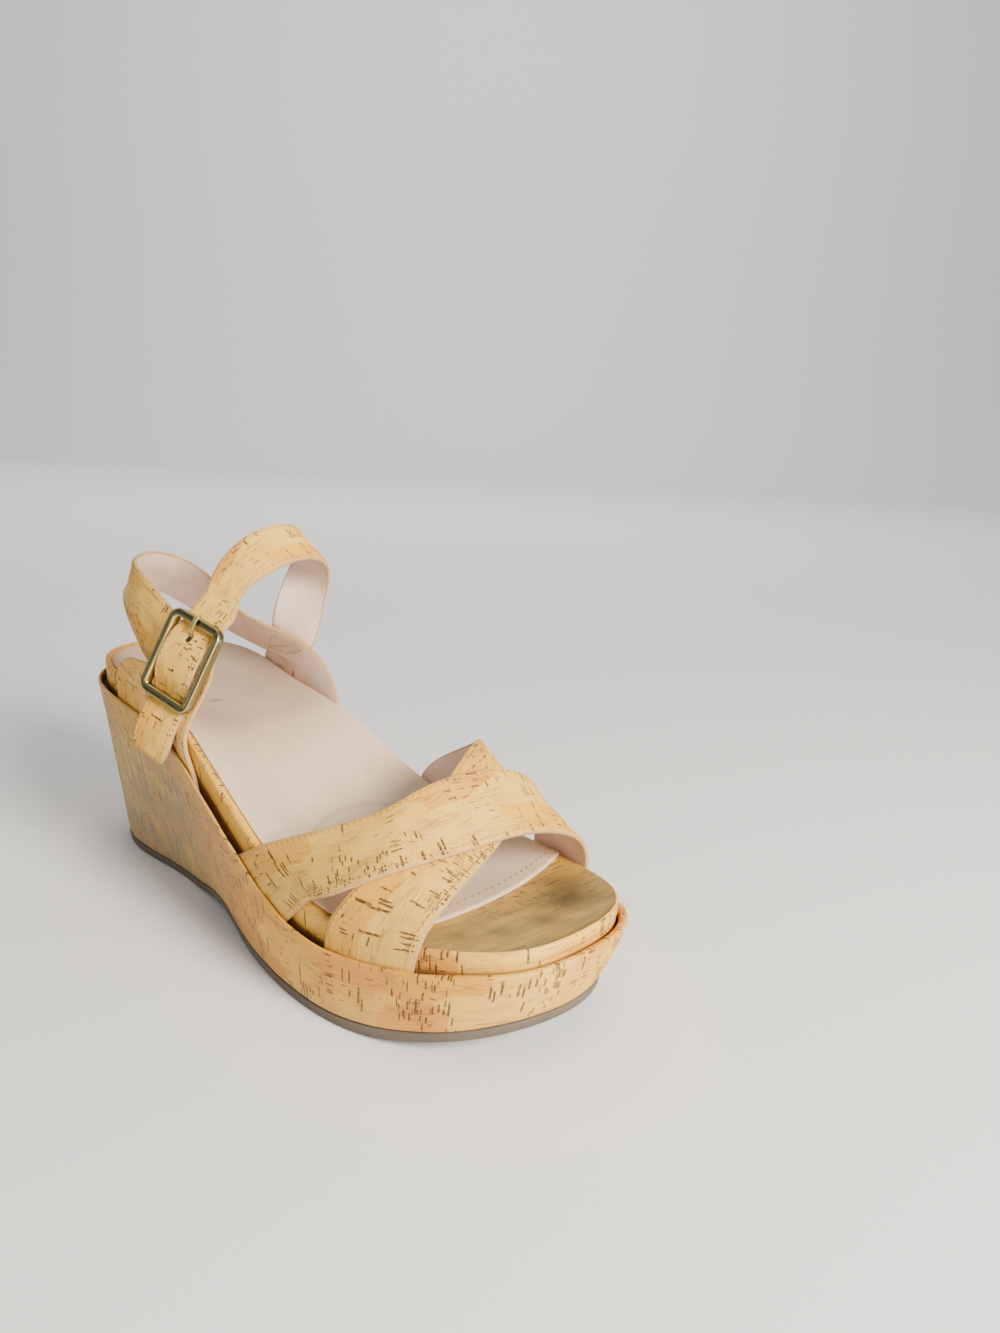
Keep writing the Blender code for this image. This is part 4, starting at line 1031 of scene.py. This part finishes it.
# along, up and out of the buckle, in shares of its half height, from the free tip on
instepThreads = [
    (0.05, -2.22, -0.20), (0.06, -2.00, -0.14), (0.06, -1.60, -0.07), (0.01, -1.15, -0.125),
    (0.00, -0.90, -0.180), (0.00, -0.78, -0.165), (0.00, -0.50, -0.010), (0.00, -0.25, 0.085),
    (0.00, 0.00, 0.105), (0.00, 0.28, 0.080), (0.00, 0.56, -0.030), (0.00, 0.78, -0.165),
    (0.00, 0.90, -0.180), (0.00, 1.12, -0.280),
]
tipWidths = (0.84, 0.98)  # shares of the width at the free tip's clipped end
tabThreads = [(-0.50, -0.47, -0.300), (-0.13, -0.17, -0.215)]
prongThreads = [(0.19, -0.030), (0.38, -0.047), (0.56, 0.012), (0.75, 0.108), (0.90, 0.137), (1.03, 0.132)]


# Heights and depths on a circle round the centre bar, at a clearance from it
def barRound(clearance, angles):
    radius, angles = buckle["centreBar"] / 2 + buckle["hingeGap"] + clearance, np.radians(angles)
    return radius * np.sin(angles), radius * np.cos(angles) - buckle["centreDepth"]


instepRows = threadRows(instepThreads)
for index, share in enumerate(tipWidths):
    instepRows[index] = instepRows[index][0], instepRows[index][1] * share, instepRows[index][2]
instepRows += (foldRows(instepFolds, straps["ankleRise"], straps["instepWidth"])
               + seatRows("instepInner", 1)[::-1])
slingRows = (seatRows("slingOuter", -1) + foldRows(slingFolds, straps["ankleRise"], straps["slingWidth"])
             + seatRows("slingInner", 1)[::-1])
wrapHeights, wrapDepths = barRound(straps["tabWall"] / 2, np.array([180, 135, 90, 45, 0]))
wrap = [(atBuckle(0.0, h, d), straps["buckleFit"] * buckleFore, np.zeros(3))
        for h, d in zip(np.r_[wrapHeights, -0.0020], np.r_[wrapDepths, wrapDepths[-1]])]
tabRows = (seatRows("tabOuter", -1, straps["tabWall"])
           + foldRows(tabFolds, straps["ankleRise"], straps["tabWidth"]) + threadRows(tabThreads) + wrap)
anklePieces = [strapPiece("instepStrap", instepRows, straps["instepWidth"], 7, creases["instep"]),
               strapPiece("slingStrap", slingRows, straps["slingWidth"], 8)]
for rows, label, first in ((instepRows, "instep", 0.002), (slingRows, "sling", 0.010)):
    for share in (-0.83, 0.83):
        anklePieces.append(stitchLine(label + "Stitch", rows, share, first))


# A box of stitches with a cross in it on the lining, where the instep strap lies on the sling
def crossStitch():
    face, normal, _ = strapSurface(slingRows, np.linspace(-1, 1, straps["grid"]), 0.0005)
    instepFace, _, _ = strapSurface(instepRows, [-0.1, 0.0, 0.1], 0.0010)
    centre = straps["grid"] // 2
    gap = np.linalg.norm(face[:, centre][:, None] - instepFace[:, 1][None], axis=2)
    middle = np.unravel_index(gap.argmin(), gap.shape)[0]
    corners = [(-1, -1), (1, -1), (1, 1), (-1, 1), (-1, -1), (1, 1), (1, -1), (-1, 1)]
    share, bars = np.linspace(0, 1, 30), []
    for (a, b), (c, d) in zip(corners[:-1], corners[1:]):
        rows = np.rint(middle + (a + (c - a) * share) * stitch["crossRows"]).astype(int)
        rows = np.clip(rows, 0, len(face) - 1)
        columns = np.rint(centre + (b + (d - b) * share) * stitch["crossColumns"]).astype(int)
        bars.append(threadBars("crossBar", face[rows, columns], -normal[rows, columns],
                               stitch["crossPitch"], stitch["crossStart"], 0.0, stitch["lift"]))
    return bars


dressed(joined("ankleStraps", anklePieces + crossStitch()), ["ankle_straps"])
tabStrap = strapPiece("buckleTab", tabRows, straps["tabWidth"], 9, wall=straps["tabWall"])
dressed(tabStrap, ["buckle_tab"])


# A closed ring of points and outward ways along a rounded rectangle, close together on the bars
def frameRing():
    halfWidth, halfHeight = (buckle["width"] - buckle["bar"]) / 2, (buckle["height"] - buckle["bar"]) / 2
    corner = buckle["corner"] - buckle["bar"] / 2
    points, normals = [], []
    for turn, (i, j) in zip((0, 90, 180, 270), ((1, 1), (-1, 1), (-1, -1), (1, -1))):
        for angle in np.radians(turn + np.linspace(0, 90, 13)):
            normals.append((math.cos(angle), math.sin(angle)))
            points.append((i * (halfWidth - corner) + corner * normals[-1][0],
                           j * (halfHeight - corner) + corner * normals[-1][1]))
    points, normals = np.array(points), np.array(normals)
    ring, facing = [], []
    for here in range(len(points)):
        after = (here + 1) % len(points)
        count = 18 if np.linalg.norm(points[after] - points[here]) > buckle["longBar"] else 1
        part = np.arange(count)[:, None] / count
        ring.append(points[here] * (1 - part) + points[after] * part)
        facing.append(normals[here] * (1 - part) + normals[after] * part)
    return np.vstack(ring), np.vstack(facing)


# Cross-section: share of the half width, share of the half depth and how far it is worn bright or lit by a
# painted highlight
frameSection = [
    (1.00, -0.60, 0.2), (1.00, 0.10, 0.3), (1.00, 0.62, 0.5), (0.93, 0.86, 0.9), (0.78, 0.98, 0.8),
    (0.55, 1.00, 0.3), (0.38, 0.98, 0.1), (0.30, 0.84, 0.0), (0.14, 0.82, 0.0), (0.06, 0.98, 0.2),
    (-0.20, 1.03, 0.3), (-0.45, 1.02, 0.3), (-0.72, 0.94, 0.9), (-0.90, 0.78, 1.0), (-1.00, 0.50, 0.8),
    (-1.00, -0.10, 0.4), (-1.00, -0.60, 0.2), (-0.86, -0.90, 0.1), (-0.50, -1.00, 0.0), (0.00, -1.00, 0.0),
    (0.50, -1.00, 0.0), (0.86, -0.90, 0.1),
]


# The section carried round the ring, raised by a step on the side bars, with a groove along them
def buckleFrame():
    ring, facing = frameRing()
    section = np.array(frameSection)
    sideBar = np.abs(facing[:, :1]) ** 4
    aside = section[None, :, 0] * buckle["bar"] / 2
    groove = np.where((section[:, 1] < 0.9) & (np.abs(section[:, 0]) < 0.35), 1.0, 0.0)[None, :]
    share = section[None, :, 1] + groove * 0.16 * (1 - sideBar)
    depth = share * buckle["depth"] / 2 + (share > 0) * share * buckle["step"] * sideBar - buckle["sink"]
    flat = ring[:, None] + aside[..., None] * facing[:, None]
    points = atBuckle(flat[..., 0], flat[..., 1], depth)
    lap = lengthAlong(np.vstack([ring, ring[:1]]))
    rows = np.arange(len(section) + 1)[None, :] * buckle["ringRow"]
    uv = np.stack(np.broadcast_arrays(lap[:, None], rows), -1)
    # The side bars get more of the painted highlight
    wearAndHighlight = np.broadcast_to(section[None, :, 2], points.shape[:2]) * (0.55 + 0.45 * sideBar)
    return gridMesh("frameRing", points, uv, agedBrass, True, True, {"wearAndHighlight": wearAndHighlight})


# A round rod along a path; wide and flat are its half sizes along and across the buckle
def rod(name, path, sideways, wide, flat, wearAndHighlight, corners=16):
    ahead = np.gradient(path, axis=0)
    ahead /= np.linalg.norm(ahead, axis=1)[:, None]
    across = np.cross(ahead, sideways)
    turn = np.linspace(0, 2 * math.pi, corners + 1)[:-1]
    points = (path[:, None] + np.cos(turn)[None, :, None] * sideways * wide[:, None, None]
              + np.sin(turn)[None, :, None] * across[:, None] * flat[:, None, None])
    points = np.concatenate([np.broadcast_to(path[:1, None], (1, corners, 3)), points,
                             np.broadcast_to(path[-1:, None], (1, corners, 3))])
    uv = np.zeros((len(points), corners + 1, 2))
    marks = {"wearAndHighlight": np.broadcast_to(wearAndHighlight[:, None], (len(wearAndHighlight), corners))[np.r_[0, :len(wearAndHighlight), -1]]}
    return weld(gridMesh(name, points, uv, agedBrass, closeColumns=True, marks=marks))


barEnd, barPoints = (buckle["width"] - buckle["bar"]) / 2, 9
barPath = atBuckle(np.linspace(-barEnd, barEnd, barPoints), 0.0, -buckle["centreDepth"])
barHalf = np.full(barPoints, buckle["centreBar"] / 2)
centreRod = rod("centreRod", barPath, buckleUp, barHalf, barHalf, np.full(barPoints, 0.2))
dressed(joined("buckleFrame", [weld(buckleFrame()), centreRod]), ["buckle_frame"])

# The prong is rolled round the bar, runs through the strap and widens at its flat tip, painted bright as wear
# and highlight
prong = {"points": 70, "tipFrom": 0.72, "tipWider": 1.1, "tipFlatter": 0.20, "wearAndHighlight": 0.35}
prongHeights, prongDepths = barRound(buckle["prong"] / 2, np.arange(-250, 1, 25))
half = buckle["height"] / 2
prongKnots = np.array(list(zip(prongHeights, prongDepths)) + [(h * half, d * half) for h, d in prongThreads])
prongRun = lengthAlong(prongKnots)
prongLine = naturalSpline(prongRun, prongKnots, np.linspace(0, prongRun[-1], prong["points"]))
nearTip = np.clip((np.linspace(0, 1, prong["points"]) - prong["tipFrom"]) / (1 - prong["tipFrom"]), 0, 1)
prongRod = rod("buckleProng", atBuckle(0.0, prongLine[:, 0], prongLine[:, 1]), buckleFore,
               buckle["prong"] / 2 * (1 + prong["tipWider"] * nearTip),
               buckle["prong"] / 2 * (1 - prong["tipFlatter"] * nearTip),
               prong["wearAndHighlight"] + (1 - prong["wearAndHighlight"]) * nearTip)
dressed(prongRod, ["buckle_prong"])
print("straps built")

stage = {
    "floor": (0.80, 0.79, 0.77, 1), "size": 6.0, "back": 3.0, "bend": 1.0, "wallTop": 4.0,
    "way": (0.6948, 0.6827),  # from the camera towards the wall
    "world": (0.90, 0.90, 0.90, 1), "worldPower": 0.55,
}


# A flat floor that bends up into a wall far behind, a quarter circle between the two
def backdrop():
    turn = np.linspace(0, math.pi / 2, 24)
    far = stage["back"] + stage["bend"] * np.sin(turn)
    side = np.r_[-stage["size"], far, stage["back"] + stage["bend"]]
    lift = np.r_[0.0, stage["bend"] - stage["bend"] * np.cos(turn), stage["wallTop"]]
    across = np.linspace(-stage["size"], stage["size"], 2)
    way = np.array(stage["way"]) / np.linalg.norm(stage["way"])
    flat = side[:, None, None] * way + across[None, :, None] * np.array([way[1], -way[0]])
    points = np.concatenate([flat, np.broadcast_to(lift[:, None, None], flat.shape[:2] + (1,))], -1)
    nodes = Nodes("floorPaper", 0.9)
    nodes.colour(stage["floor"])
    return gridMesh("floor", points, flat, nodes.material)


floor = backdrop()

# name, place, what it points at, size, watts and colour
lights = [
    ("keyLight", (-0.02, -1.05, 0.52), (0, -0.09, 0.04), 0.4, 29.0, (1.0, 0.96, 0.88)),
    ("fillLight", (-0.95, -0.55, 0.45), (0, -0.09, 0.04), 1.0, 1.0, (0.96, 0.98, 1.0)),
    ("topLight", (0.05, 0.20, 1.25), (0, -0.09, 0.04), 0.8, 2.5, (1.0, 0.98, 0.95)),
    ("wallLight", (0.9, 0.9, 2.2), (2.6, 2.6, 0.6), 2.0, 70.0, (1.0, 0.98, 0.96)),
]
for name, spot, target, size, power, colour in lights:
    lamp = bpy.data.lights.new(name, "AREA")
    lamp.shape = "DISK"
    lamp.size, lamp.energy, lamp.color = size, power, colour
    item = linked(name, lamp)
    item.location = spot
    item.rotation_mode = "QUATERNION"
    item.rotation_quaternion = (Vector(target) - Vector(spot)).to_track_quat("-Z", "Y")
world = bpy.data.worlds.new("studio")
world.use_nodes = True
world.node_tree.nodes["Background"].inputs[0].default_value = stage["world"]
world.node_tree.nodes["Background"].inputs[1].default_value = stage["worldPower"]
bpy.context.scene.world = world

view = {
    "position": (-0.20408, -0.37873, 0.17319), "ahead": (0.69483, 0.68272, -0.22607),
    "up": (0.16126, 0.15844, 0.97411), "right": (0.70086, -0.71330, 0.0), "roll": 2.878,
    "focalPixels": 1028.42, "longSidePixels": 1333, "sensor": 36.0, "nearest": 0.02,
}
roll = math.radians(view["roll"])
ahead, up, right = (Vector(view[key]).normalized() for key in ("ahead", "up", "right"))
cameraX = math.cos(roll) * right + math.sin(roll) * up
cameraY = math.cos(roll) * up - math.sin(roll) * right
lens = bpy.data.cameras.new("camera")
lens.sensor_width = view["sensor"]
lens.lens = view["sensor"] * view["focalPixels"] / view["longSidePixels"]
lens.clip_start = view["nearest"]
camera = linked("camera", lens)
camera.matrix_world = Matrix((
    (cameraX.x, cameraY.x, -ahead.x, view["position"][0]),
    (cameraX.y, cameraY.y, -ahead.y, view["position"][1]),
    (cameraX.z, cameraY.z, -ahead.z, view["position"][2]),
    (0, 0, 0, 1),
))
bpy.context.scene.camera = camera
print("stage set")
